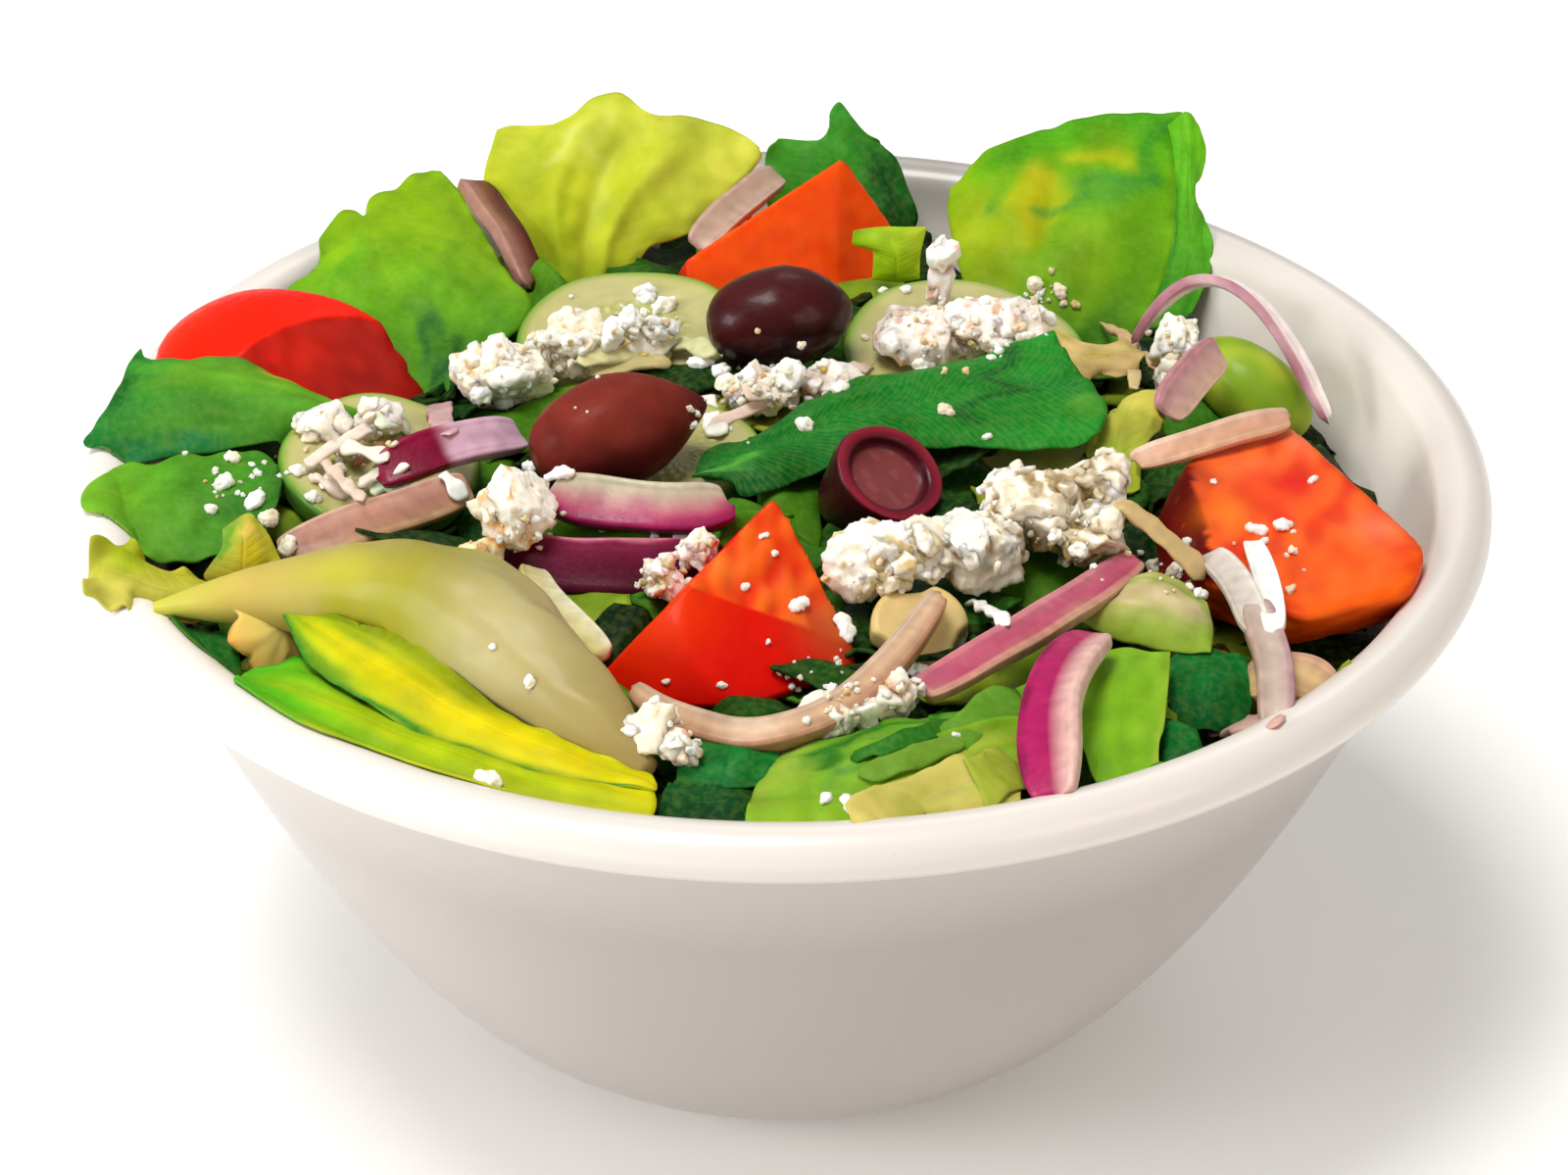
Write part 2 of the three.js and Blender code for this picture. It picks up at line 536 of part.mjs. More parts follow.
const ONIONS = {
  onion_middle_top: {
    from: [-34, -19, 98], to: [-8, -22, 97.4], bow: [0, -3, 0.4], face: [0, -0.6, 0.7],
    width: 7.5, thickness: 3.4, material: ONION_PURPLE,
  },
  onion_middle: {
    from: [-42, -26, 92.5], to: [-10, -28.5, 93], bow: [0, -5, 0.5], face: [0, -0.75, 0.6],
    width: 8, thickness: 3.2, material: ONION_PURPLE,
  },
  onion_front_long: {
    from: [18, -67, 93.5], to: [50, -35, 96], bow: [2, -2, 2], face: [0, -0.4, 0.9],
    width: 5.6, thickness: 3, material: ONION_PURPLE,
  },
  onion_front_short: {
    from: [43, -58, 97.5], to: [36, -92, 93], bow: [-3, 1, 2.5], face: [-0.35, -0.2, 0.9],
    width: 8.5, thickness: 3.2, material: ONION_PURPLE,
  },
  onion_left: {
    from: [-59, -13, 97.5], to: [-39, 0.5, 96.5], bow: [0, -1, 2], face: [0.3, -0.5, 0.8],
    width: 6.5, thickness: 3, material: ONION_PURPLE,
  },
  onion_left_low: {
    from: [-68, -21, 92.5], to: [-45, -12, 95], bow: [0, -2, 0.5], face: [0.1, -0.5, 0.8],
    width: 5.5, thickness: 3.4,
  },
  onion_curl: {
    from: [-21, -64, 92.5], to: [22, -46, 97], bow: [1, -21, -1], face: [0, -0.5, 0.85],
    width: 4.6, thickness: 4.2, steps: 11,
  },
  onion_by_pepper: {
    from: [-36, -33, 93], to: [-25, -54, 91.5], bow: [-2, -1, 1], face: [0.4, -0.3, 0.85],
    width: 5.5, thickness: 4,
  },
  onion_arch: {
    from: [54.5, 42, 90], to: [83, 20, 88], bow: [0, 9, 12], face: [0.35, 0.3, 0.9],
    width: 4.2, thickness: 2.4, steps: 10,
  },
  onion_right: {
    from: [61, -31, 99], to: [67.5, -70, 92], bow: [3, 0, 1.5], face: [-0.1, -0.3, 0.95],
    width: 5.6, thickness: 3.2,
  },
  onion_right_top: {
    from: [51, -11, 98.5], to: [74.5, -1.5, 100.8], bow: [0, -1.5, 1], face: [0, -0.6, 0.8],
    width: 4.4, thickness: 2.2,
  },
  onion_right_chip: {
    from: [57, 8, 96], to: [66, 24, 98], bow: [0, 0, 1], face: [0.3, -0.8, 0.5],
    width: 6.5, thickness: 2.4, steps: 5,
  },
  onion_back_left: {
    from: [-51, 79, 99], to: [-40, 57, 92], bow: [1, 0, 1], face: [0.6, -0.5, 0.6],
    width: 6, thickness: 3,
  },
  onion_back: {
    from: [-1, 82, 99], to: [-14, 66, 94.5], bow: [0, 0, 1], face: [0, -0.6, 0.8],
    width: 5.5, thickness: 2.8,
  },
  onion_rim_right: {
    from: [66, -53, 91], to: [77, -58, 92], bow: [0, 0, 1.5], face: [0.2, -0.4, 0.9],
    width: 8, thickness: 3, steps: 5,
  },
};
const FETA_CLUSTERS = {
  feta_back_left: {
    at: [-33, 25, 96.5], seed: 3,
    lumps: [[-10, -4, 0, 8, 6.5, 5], [0, 2, 1, 7, 6, 5], [9, 5, 0, 6, 4.6, 4]],
  },
  feta_middle: {
    at: [0, 17, 95], seed: 11,
    lumps: [[-3, -1, 0, 7, 4.6, 3.6], [7, 1, 0, 5, 4.2, 3.4]],
  },
  feta_back_right: {
    at: [27, 32, 96], seed: 19,
    lumps: [[-6, -1, 0, 8, 5.6, 4.8], [5, 2, 0.6, 9, 5.8, 4.8]],
  },
  feta_shard: {
    at: [24, 44, 100], pitch: 6, seed: 5,
    lumps: [[0, 0, -2, 2.2, 2.2, 6.5], [0.3, 0, 4, 3, 2.4, 3]],
  },
  feta_right: {
    at: [37, -29, 100.5], seed: 27,
    lumps: [[0, 0, 0, 11, 9, 7], [-8, -6, -1, 6.5, 6, 5.5], [8, 5, 1, 6, 5.4, 5]],
  },
  feta_centre: {
    at: [13, -40, 98.5], seed: 33,
    lumps: [[0, 0, 0, 7, 5.6, 5.6], [6, 1, 0, 5, 4.6, 4.6]],
  },
  feta_left: { at: [-66, 0, 97], seed: 41, lumps: [[-2, 2, 0, 4.6, 3.6, 3], [5, 4, 0, 4, 3.4, 3]] },
  feta_cube: { at: [-38.5, -27.5, 99.5], yaw: 25, roll: 20, seed: 52, lumps: [[0, 0, 0, 6.4, 6.2, 5.8]] },
  feta_front_left: { at: [-18, -78, 95], seed: 63, lumps: [[0, 0, 0, 4.8, 4, 4], [4, -3, -1, 3, 2.6, 2.6]] },
  feta_front: { at: [6, -72, 93], seed: 71, lumps: [[0, 0, 0, 4.8, 3.8, 3.6], [4, 1, 0, 3, 2.8, 2.8]] },
  feta_front_right: { at: [15, -67, 94], seed: 77, lumps: [[0, 0, 0, 4.2, 3.8, 3.6]] },
  feta_far_right: {
    at: [61, 36, 92], seed: 83,
    lumps: [[0, 0, 0, 3.6, 4.4, 5], [-1, -5, -3, 3.4, 3.4, 3.6]],
  },
  feta_by_tomato: { at: [-17, -38, 95], seed: 91, lumps: [[0, 0, 0, 3.6, 4.4, 3], [5, 6, 1, 3.2, 3, 2.8]] },
};
const PEPPER_CHUNK = { at: [72, 32, 87], yaw: -35, pitch: 20, length: 22, radius: 6.5 };

// ---------------------------------------------------------------- laying the pieces
const salad = new THREE.Group();
salad.name = "greek_salad";
const laid = []; // what already lies in the bowl, grown by the gap

function spotOf({ at, yaw = 0, pitch = 0, roll = 0 }) {
  const spot = new THREE.Object3D();
  spot.position.set(...at);
  spot.rotation.set(radians(roll), radians(pitch), radians(yaw), "ZYX");
  spot.updateMatrix();
  return spot;
}

const meets = (a, b) => {
  const [p, q] = [a.boundingBox(), b.boundingBox()];
  return [0, 1, 2].every((k) => p.min[k] < q.max[k] && q.min[k] < p.max[k]);
};

function clearOf(solid, others) {
  for (const other of others) if (meets(solid, other)) solid = solid.subtract(other);
  return largest(solid);
}

// Adds a piece in the place of its spot, cut clear of what was laid before it.
function lay(name, material, shape, spotAt) {
  const spot = spotOf(spotAt ?? { at: [0, 0, 0] });
  const build = (grow) => {
    const made = shape(grow);
    return (made.isBufferGeometry ? toSolid(made) : made).transform(spot.matrix.elements);
  };
  const cut = clearOf(build(0), laid);
  laid.push(build(GAP));
  const mesh = new THREE.Mesh(fromSolid(cut.transform(spot.matrix.clone().invert().elements)), material);
  mesh.name = name;
  mesh.position.copy(spot.position);
  mesh.quaternion.copy(spot.quaternion);
  salad.add(mesh);
}

lay("bowl", GLAZE, bowlGeometry);
for (const [name, olive] of Object.entries(OLIVES))
  lay(name, olive.material, (grow) => oliveGeometry(olive, grow), olive);
lay("olive_half", OLIVE_BROWN, (grow) => oliveHalf(OLIVE_HALF, grow), OLIVE_HALF);
for (const [name, tomato] of Object.entries(TOMATOES))
  lay(name, TOMATO, (grow) => tomatoSolid(tomato, grow), tomato);
lay("pepperoncino", PEPPERONCINO, pepperSolid);
for (const [name, slice] of Object.entries(CUCUMBERS))
  lay(name, CUCUMBER, (grow) => cucumberGeometry(slice, grow), slice);
lay("green_pepper", GREEN_PEPPER, (grow) => oliveGeometry(PEPPER_CHUNK, grow), PEPPER_CHUNK);
for (const [name, strip] of Object.entries(ONIONS))
  lay(name, strip.material ?? ONION_PALE, (grow) => onionGeometry(strip, grow));
for (const [name, cluster] of Object.entries(FETA_CLUSTERS))
  lay(name, FETA, (grow) => fetaSolid(cluster, grow), cluster);

// The heap goes round all of them: its core with the leaves that show, fused into one body.
let heap = toSolid(coreGeometry());
for (const leaf of Object.values(LEAVES)) heap = heap.add(toSolid(leafGeometry(leaf)));
const heapMesh = new THREE.Mesh(fromSolid(clearOf(heap, laid)), LETTUCE);
heapMesh.name = "lettuce_heap";
salad.add(heapMesh);

export default salad;
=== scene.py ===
# %% [markdown]
# # A Greek salad in its bowl
#
# This lesson dresses a heaped salad: a glazed bowl, romaine leaves with veins, tomato chunks,
# kalamata olives, a pickled pepperoncino, cucumber slices, onion strips and crumbled feta.
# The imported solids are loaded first. They say where every piece lies, and each is then replaced by
# a finer piece of the same form. All sizes below are millimetres until a mesh is made of them.

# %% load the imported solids
import json
import math

import bmesh
import bpy
import numpy as np
from mathutils import Matrix, Vector
from mathutils.bvhtree import BVHTree

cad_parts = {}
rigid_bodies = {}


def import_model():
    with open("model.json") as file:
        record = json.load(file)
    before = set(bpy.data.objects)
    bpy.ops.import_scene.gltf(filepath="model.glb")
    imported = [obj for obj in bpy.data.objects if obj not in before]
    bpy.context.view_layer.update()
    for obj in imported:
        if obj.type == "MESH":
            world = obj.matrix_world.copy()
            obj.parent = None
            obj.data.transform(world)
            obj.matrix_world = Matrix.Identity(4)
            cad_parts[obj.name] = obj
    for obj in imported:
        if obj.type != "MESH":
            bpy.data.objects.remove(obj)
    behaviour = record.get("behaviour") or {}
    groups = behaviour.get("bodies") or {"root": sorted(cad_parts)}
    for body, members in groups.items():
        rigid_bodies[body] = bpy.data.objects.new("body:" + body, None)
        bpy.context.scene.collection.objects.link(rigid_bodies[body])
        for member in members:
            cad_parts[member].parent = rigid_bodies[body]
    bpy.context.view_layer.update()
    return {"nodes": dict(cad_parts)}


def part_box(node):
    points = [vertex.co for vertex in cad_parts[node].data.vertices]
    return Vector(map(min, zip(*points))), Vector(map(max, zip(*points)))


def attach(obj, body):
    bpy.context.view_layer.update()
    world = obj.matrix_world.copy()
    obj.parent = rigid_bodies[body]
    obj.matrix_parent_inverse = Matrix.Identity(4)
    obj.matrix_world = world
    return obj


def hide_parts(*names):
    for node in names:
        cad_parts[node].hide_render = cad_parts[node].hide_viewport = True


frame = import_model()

MM = 0.001
BODY = "root"

# %% [markdown]
# ## The room
# The bowl stands on a pale floor that runs past the picture on every side, so it needs no wall.
# A long lens from 75 cm, looking down at 31 degrees, keeps the bowl's mouth a calm ellipse.
# The main lamp is a large soft one almost straight overhead: it lights the toppings and leaves the
# bowl's outer wall in its own soft shade. A second one, low on the left, models the olives and the
# glaze, and two weak ones on the right and behind keep the shadows open and edge the back leaves.
# The sky is an even white, and the floor glows a very little, so that the shadow on it stays pale.

# %% camera
def link(made):
    """Puts an object into the scene."""
    bpy.context.scene.collection.objects.link(made)
    return made


CAMERA_DISTANCE = 750
CAMERA_ELEVATION = math.radians(31)
AIM = Vector((0, 0, 70.5))
LENS = 114.24

camera = link(bpy.data.objects.new("camera", bpy.data.cameras.new("camera")))
toward = Vector((0, -math.cos(CAMERA_ELEVATION), math.sin(CAMERA_ELEVATION)))
camera.location = (AIM + toward * CAMERA_DISTANCE) * MM
camera.rotation_euler = (math.pi / 2 - CAMERA_ELEVATION, 0, 0)
camera.data.lens = LENS
camera.data.sensor_width = 36
bpy.context.scene.camera = camera
print("camera at", [round(v, 3) for v in camera.location])


# %% lamps, sky and floor
def lamp(name, place, size, watts, colour=(1, 1, 1)):
    """A square soft lamp at a place in millimetres, aimed at the salad."""
    data = bpy.data.lights.new(name, "AREA")
    data.size, data.energy, data.color = size * MM, watts, colour
    made = link(bpy.data.objects.new(name, data))
    made.location = Vector(place) * MM
    made.rotation_euler = (AIM - Vector(place)).to_track_quat("-Z", "Y").to_euler()


lamp("key", (-450, -300, 2150), 900, 38, (1.0, 0.985, 0.96))
lamp("left", (-1600, -700, 650), 800, 21)
lamp("right", (1300, -1100, 800), 900, 7, (1.0, 0.86, 0.72))
lamp("rim", (300, 1500, 1500), 700, 3)

world = bpy.data.worlds.new("sky")
bpy.context.scene.world = world
world.use_nodes = True
sky = world.node_tree.nodes["Background"].inputs
sky["Color"].default_value = (1.0, 0.99, 0.975, 1)
sky["Strength"].default_value = 0.30
bpy.context.scene.view_settings.view_transform = "Standard"


# %% [markdown]
# ## Helpers for materials
# Every finish here is a Principled shader fed by a few textures. A helper that adds a node, links
# what is a socket and sets what is a number keeps each recipe to the lines that matter.


# %% node helpers
def linear(red, green, blue):
    """An 8-bit screen colour as the linear one that shaders take."""
    def one(v):
        v /= 255
        return v / 12.92 if v <= 0.04045 else ((v + 0.055) / 1.055) ** 2.4
    return (one(red), one(green), one(blue), 1)


def feed(tree, socket, value):
    """Links a socket, or sets a constant."""
    if isinstance(value, bpy.types.NodeSocket):
        tree.links.new(value, socket)
    else:
        socket.default_value = value


def node(tree, kind, *values, **named):
    """Adds a node. Lower-case names are settings, others are inputs with _ for a space."""
    made = tree.nodes.new(kind)
    for name, value in named.items():
        if name[0].islower():
            setattr(made, name, value)
    for name, value in named.items():
        if not name[0].islower():
            feed(tree, made.inputs[name.replace("_", " ")], value)
    for socket, value in zip(made.inputs, values):
        if value is not None:
            feed(tree, socket, value)
    return made


def calc(tree, operation, *values):
    return node(tree, "ShaderNodeMath", *values, operation=operation).outputs[0]


def blend(tree, share, a, b, mode="MIX"):
    """Mixes two colours by a share."""
    made = tree.nodes.new("ShaderNodeMix")
    made.data_type, made.blend_type = "RGBA", mode
    for index, value in ((0, share), (6, a), (7, b)):
        feed(tree, made.inputs[index], value)
    return made.outputs[2]


def span(tree, value, low, high, to_low=0.0, to_high=1.0):
    """Stretches a value from one range to another, smoothly and held at the ends."""
    made = node(tree, "ShaderNodeMapRange", interpolation_type="SMOOTHSTEP")
    for socket, number in zip(made.inputs, (value, low, high, to_low, to_high)):
        feed(tree, socket, number)
    return made.outputs[0]


def grain(tree, size, detail):
    """A noise whose features are about size millimetres, on the piece's own coordinates."""
    place = node(tree, "ShaderNodeTexCoord").outputs["Object"]
    return node(tree, "ShaderNodeTexNoise", Vector=place, Scale=1000 / size, Detail=detail).outputs["Fac"]


def attribute(tree, name, output="Fac"):
    return node(tree, "ShaderNodeAttribute", attribute_name=name).outputs[output]


def recipe(name):
    """A new material: its tree, with a Principled shader wired to the output."""
    made = bpy.data.materials.new(name)
    made.use_nodes = True
    tree = made.node_tree
    return made, tree, tree.nodes["Principled BSDF"]


def constants(shader, **values):
    """Sets a shader's own inputs, named with _ for a space."""
    for name, value in values.items():
        shader.inputs[name.replace("_", " ")].default_value = value


def bump(tree, shader, height, depth, after=None):
    """Adds relief of depth millimetres to a shader, on top of an earlier one."""
    made = node(tree, "ShaderNodeBump", Height=height, Distance=depth * MM, Strength=1.0)
    if after is not None:
        tree.links.new(after.outputs["Normal"], made.inputs["Normal"])
    tree.links.new(made.outputs["Normal"], shader.inputs["Normal"])
    return made


# %% floor
def floor_finish():
    made, tree, shader = recipe("studio floor")
    feed(tree, shader.inputs["Base Color"], linear(250, 249, 247))
    constants(shader, Roughness=0.75, Emission_Color=(1.0, 0.99, 0.975, 1), Emission_Strength=0.14)
    return made


FLOOR_HALF = 4000
floor_mesh = bpy.data.meshes.new("floor")
signs = ((-1, -1), (1, -1), (1, 1), (-1, 1))
corners = [(x * FLOOR_HALF * MM, y * FLOOR_HALF * MM, 0) for x, y in signs]
floor_mesh.from_pydata(corners, [], [(0, 1, 2, 3)])
floor_mesh.materials.append(floor_finish())
floor = link(bpy.data.objects.new("floor", floor_mesh))


# %% [markdown]
# ## Helpers for meshes
# A piece is worked out as an array of points in millimetres and a list of faces. Its colours are
# worked out too, point by point, by a rule such as "paler towards the rib", and kept in a colour
# attribute named tint, which its material then mottles. So one material serves every leaf.


# %% from arrays to a piece
def build(name, points, faces, finish, slot, nodes, tint=None, smooth=True, **values):
    """A finished piece: points in millimetres, faces, its material and what it stands for."""
    mesh = bpy.data.meshes.new(name)
    mesh.from_pydata((np.asarray(points, float) * MM).tolist(), [], [list(map(int, f)) for f in faces])
    return dress(mesh, name, finish, slot, nodes, tint, smooth, **values)


def dress(mesh, name, finish, slot, nodes, tint=None, smooth=True, **values):
    """Gives a mesh its colours, values and material, and fixes the piece to the bowl."""
    if tint is not None:
        layer = mesh.color_attributes.new("tint", "FLOAT_COLOR", "POINT")
        layer.data.foreach_set("color", np.asarray(tint, np.float32).ravel())
    for key, value in values.items():
        layer = mesh.attributes.new(key, "FLOAT", "POINT")
        layer.data.foreach_set("value", np.asarray(value, np.float32).ravel())
    mesh.polygons.foreach_set("use_smooth", [smooth] * len(mesh.polygons))
    mesh.materials.clear()
    mesh.materials.append(finish)
    piece = link(bpy.data.objects.new(name, mesh))
    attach(piece, BODY)
    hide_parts(*nodes)
    return piece


def coordinates(mesh):
    points = np.empty(len(mesh.vertices) * 3, np.float32)
    mesh.vertices.foreach_get("co", points)
    return points.reshape(-1, 3).astype(float)


def move_points(mesh, points):
    mesh.vertices.foreach_set("co", np.asarray(points, np.float32).ravel())
    mesh.update()


# %% smooth random waves, colours and places
WAVES = 9


def waves(points, size, seed):
    """Soft noise from about -1 to 1: waves of about one size, in random directions."""
    rng = np.random.default_rng(seed)
    directions = rng.normal(size=(WAVES, points.shape[-1]))
    directions /= np.linalg.norm(directions, axis=1, keepdims=True)
    pace = 2 * np.pi / size * rng.uniform(0.7, 1.4, WAVES)
    phase = rng.uniform(0, 2 * np.pi, WAVES)
    return np.sin(points @ (directions * pace[:, None]).T + phase).sum(-1) / math.sqrt(WAVES / 2)


def ramp(value, *stops):
    """Colours along a value: stops are (value, red, green, blue) in screen colours."""
    at = [stop[0] for stop in stops]
    colours = np.array([linear(*stop[1:]) for stop in stops])
    return np.stack([np.interp(value, at, colours[:, k]) for k in range(4)], axis=-1)


def paint(*tone):
    """A screen colour as an array of linear values."""
    return np.array(linear(*tone))


def mix(a, b, share):
    """Mixes two colour arrays by a share from 0 to 1."""
    share = np.clip(np.asarray(share, float), 0, 1)[..., None]
    return a * (1 - share) + b * share


def step(value, low, high):
    """Smoothly 0 below low and 1 above high."""
    t = np.clip((np.asarray(value, float) - low) / (high - low), 0, 1)
    return t * t * (3 - 2 * t)


def bell(distance, width):
    """1 at no distance, falling off softly over a width."""
    return np.exp(-((distance / width) ** 2))


def round_turn(sides):
    """Angles evenly round a circle."""
    return np.linspace(0, 2 * np.pi, sides, endpoint=False)


def spot(at, yaw=0, pitch=0, roll=0):
    """The matrix that lays a piece at a place: rolled about X, pitched about Y, turned about Z."""
    turn = Matrix.Rotation(math.radians(yaw), 4, "Z") @ Matrix.Rotation(math.radians(pitch), 4, "Y")
    return np.array(Matrix.Translation(at) @ turn @ Matrix.Rotation(math.radians(roll), 4, "X"))


def placed(points, matrix):
    return points @ matrix[:3, :3].T + matrix[:3, 3]


# %% [markdown]
# ## Turned pieces
# The bowl, the olives and the cucumber slices are all an outline turned about an axis, which a
# small Geometry Nodes tree can make from a drawn curve: it lays a grid, reads each point's place
# on the outline from the curve, and turns it by its place round the axis. The tree also notes how
# far along the outline each point is.


# %% the turning tree
def new_tree(name, sockets):
    """A Geometry Nodes tree with its inputs, each a name and a kind, and one output."""
    tree = bpy.data.node_groups.new(name, "GeometryNodeTree")
    for label, kind in sockets.items():
        tree.interface.new_socket(label, in_out="INPUT", socket_type=f"NodeSocket{kind}")
    tree.interface.new_socket("Result", in_out="OUTPUT", socket_type="NodeSocketGeometry")
    return tree, node(tree, "NodeGroupInput").outputs, node(tree, "NodeGroupOutput").inputs["Result"]


def finish_tree(tree, geometry, finish, result):
    """Ends a tree with its material."""
    painted = node(tree, "GeometryNodeSetMaterial", geometry, Material=finish)
    tree.links.new(painted.outputs[0], result)
    return tree


def turning_tree():
    kinds = {"Outline": "Geometry", "Steps along": "Int", "Steps round": "Int", "Finish": "Material"}
    tree, inputs, result = new_tree("turn an outline", kinds)
    grid = node(tree, "GeometryNodeMeshGrid", 1.0, 1.0, inputs["Steps along"], inputs["Steps round"])
    place = node(tree, "ShaderNodeSeparateXYZ", node(tree, "GeometryNodeInputPosition").outputs[0])
    along = calc(tree, "ADD", place.outputs["X"], 0.5)
    turn = calc(tree, "MULTIPLY", calc(tree, "ADD", place.outputs["Y"], 0.5), 2 * math.pi)
    sample = node(
        tree, "GeometryNodeSampleCurve", mode="FACTOR", data_type="FLOAT", Curves=inputs["Outline"], Factor=along,
    ).outputs["Position"]
    spun = node(tree, "ShaderNodeVectorRotate", rotation_type="Z_AXIS", Vector=sample, Angle=turn)
    note = node(
        tree, "GeometryNodeStoreNamedAttribute", data_type="FLOAT", domain="POINT", Name="along",
        Geometry=grid.outputs["Mesh"], Value=along,
    )
    moved = node(tree, "GeometryNodeSetPosition", note.outputs[0], Position=spun.outputs[0])
    merged = node(tree, "GeometryNodeMergeByDistance", moved.outputs[0], Distance=1e-6)
    real = node(tree, "GeometryNodeRealizeInstances", merged.outputs[0])
    return finish_tree(tree, real.outputs[0], inputs["Finish"], result)


TURNING = turning_tree()


def run_tree(source, tree, name, **inputs):
    """Runs a Geometry Nodes tree on an object and returns its result as a plain mesh."""
    modifier = source.modifiers.new(name, "NODES")
    modifier.node_group = tree
    for item in tree.interface.items_tree:
        if item.in_out == "INPUT" and item.name.replace(" ", "_") in inputs:
            modifier[item.identifier] = inputs[item.name.replace(" ", "_")]
    bpy.context.view_layer.update()
    result = source.evaluated_get(bpy.context.evaluated_depsgraph_get())
    mesh = bpy.data.meshes.new_from_object(result)
    bpy.data.objects.remove(source)
    mesh.name = name
    return mesh


def turned(name, outline, along, around, finish):
    """Turns an outline of (radius, height) points in millimetres about Z."""
    curve = bpy.data.curves.new(name, "CURVE")
    curve.dimensions = "3D"
    line = curve.splines.new("POLY")
    line.points.add(len(outline) - 1)
    for point, (radius, height) in zip(line.points, outline):
        point.co = (radius * MM, 0, height * MM, 1)
    source = link(bpy.data.objects.new(name, curve))
    mesh = run_tree(source, TURNING, name, Steps_along=along, Steps_round=around + 1, Finish=finish)
    shape = bmesh.new()
    shape.from_mesh(mesh)
    bmesh.ops.recalc_face_normals(shape, faces=shape.faces)
    shape.to_mesh(mesh)
    shape.free()
    return mesh


def read_value(mesh, key):
    values = np.empty(len(mesh.vertices), np.float32)
    mesh.attributes[key].data.foreach_get("value", values)
    return values.astype(float)


# %% [markdown]
# ## The bowl
# A thick white bowl: a wall that swells out from a narrow foot, and a rolled lip. The glaze is
# white with a warm cast, wet-looking, and a trace uneven, as a dipped glaze is. The outline is the
# one that the solid has, drawn with many more points, so the wall and lip turn smoothly.

# %% bowl sizes
BOWL_HEIGHT = 94
LIP_RADIUS = 105
LIP_HALF_WIDTH = 4.4
LIP_HALF_HEIGHT = 4
WALL = 4
FOOT_RADIUS = 37.5
FOOT_WIDTH = 5
FOOT_RECESS = 2.4
FOOT_HEIGHT = 3
BASE_THICKNESS = 4.2
WALL_SWELL = 0.57
WALL_TOP = BOWL_HEIGHT - 2 * LIP_HALF_HEIGHT
WALL_TOP_RADIUS = LIP_RADIUS - LIP_HALF_WIDTH * 1.5


def outer_radius(z):
    rise = np.maximum(0, (np.asarray(z, float) - FOOT_HEIGHT) / (WALL_TOP - FOOT_HEIGHT))
    return FOOT_RADIUS + (WALL_TOP_RADIUS - FOOT_RADIUS) * rise**WALL_SWELL


def inner_radius(z):
    return outer_radius(z) - WALL


# %% bowl outline
def bowl_outline(steps=60):
    inside = FOOT_RECESS + BASE_THICKNESS
    flat = 0.82 * float(inner_radius(inside + 2))
    line = [(0, inside), (flat * 0.5, inside), (flat, inside)]
    rise = [(i / steps) ** 1.4 for i in range(steps + 1)]
    heights = (inside + 2 + r * (WALL_TOP - inside - 2) for r in rise)
    line += [(float(inner_radius(z)), z) for z in heights]
    for i in range(25):
        turn = math.radians(170 - 265 * i / 24)
        x = LIP_RADIUS - LIP_HALF_WIDTH + LIP_HALF_WIDTH * math.cos(turn)
        line.append((x, BOWL_HEIGHT - LIP_HALF_HEIGHT + LIP_HALF_HEIGHT * math.sin(turn)))
    heights = [FOOT_HEIGHT + r * (WALL_TOP - FOOT_HEIGHT) for r in reversed(rise)]
    line += [(float(outer_radius(z)), z) for z in heights]
    foot = FOOT_RADIUS - FOOT_WIDTH
    line += [(FOOT_RADIUS - 0.1, 1.2), (FOOT_RADIUS - 0.4, 0.4), (FOOT_RADIUS - 1.1, 0)]
    line += [(foot + 0.7, 0), (foot - 0.4, 0.5), (foot - 1.2, FOOT_RECESS - 0.3), (foot - 2, FOOT_RECESS)]
    return line + [(foot * 0.5, FOOT_RECESS), (0, FOOT_RECESS)]


# %% bowl glaze and bowl
def glaze_finish():
    made, tree, shader = recipe("warm white glaze")
    cloud = grain(tree, 40, 3)
    shade = blend(tree, span(tree, cloud, 0.35, 0.7), (0.97, 0.97, 0.97, 1), (1.0, 1.0, 1.0, 1))
    colour = blend(tree, 1.0, attribute(tree, "tint", "Color"), shade, "MULTIPLY")
    speck = span(tree, grain(tree, 1.4, 1), 0.74, 0.80)
    colour = blend(tree, calc(tree, "MULTIPLY", speck, 0.12), colour, linear(176, 160, 140))
    feed(tree, shader.inputs["Base Color"], colour)
    feed(tree, shader.inputs["Roughness"], span(tree, cloud, 0.3, 0.8, 0.30, 0.34))
    constants(shader, Coat_Weight=0.2, Coat_Roughness=0.16)
    bump(tree, shader, grain(tree, 12, 2), 0.012)
    return made


GLAZE = glaze_finish()
BOX_FIT = 0.996  # the solid bowl has flat facets, so its box is a little narrower than its circle
outline = [(radius * BOX_FIT, z) for radius, z in bowl_outline()]
bowl_mesh = turned("bowl", outline, 260, 192, GLAZE)
places = coordinates(bowl_mesh) / MM
height = places[:, 2]
outside = step(np.hypot(places[:, 0], places[:, 1]) - outer_radius(np.minimum(height, WALL_TOP)), -2.5, -1)
# Painted shade: the outer wall is coloured grey, darkest at the foot; only the lip is near white.
thin = ramp(
    height, (0, 152, 141, 132), (8, 168, 159, 152), (30, 168, 161, 157), (66, 158, 151, 147),
    (84, 178, 171, 165), (90, 220, 213, 206),
)
thick = paint(230, 223, 213) + 0 * height[:, None]
x, y = places[:, :1], places[:, 1:2]
# Painted light: the inner wall is lighter on the right.
pooled = thick * (1 + 0.16 * step(x, 50, 95) * step(-y, -60, 10))
# Painted light: the outer wall is lighter on the left.
worn = thin * (1 + 0.12 * step(-x, 20, 80))
tint = mix(pooled, worn, outside)
# Painted shade: the back of the rim is darker.
tint = tint * (1 - 0.4 * step(y, 50, 100) * step(height[:, None], 84, 90))
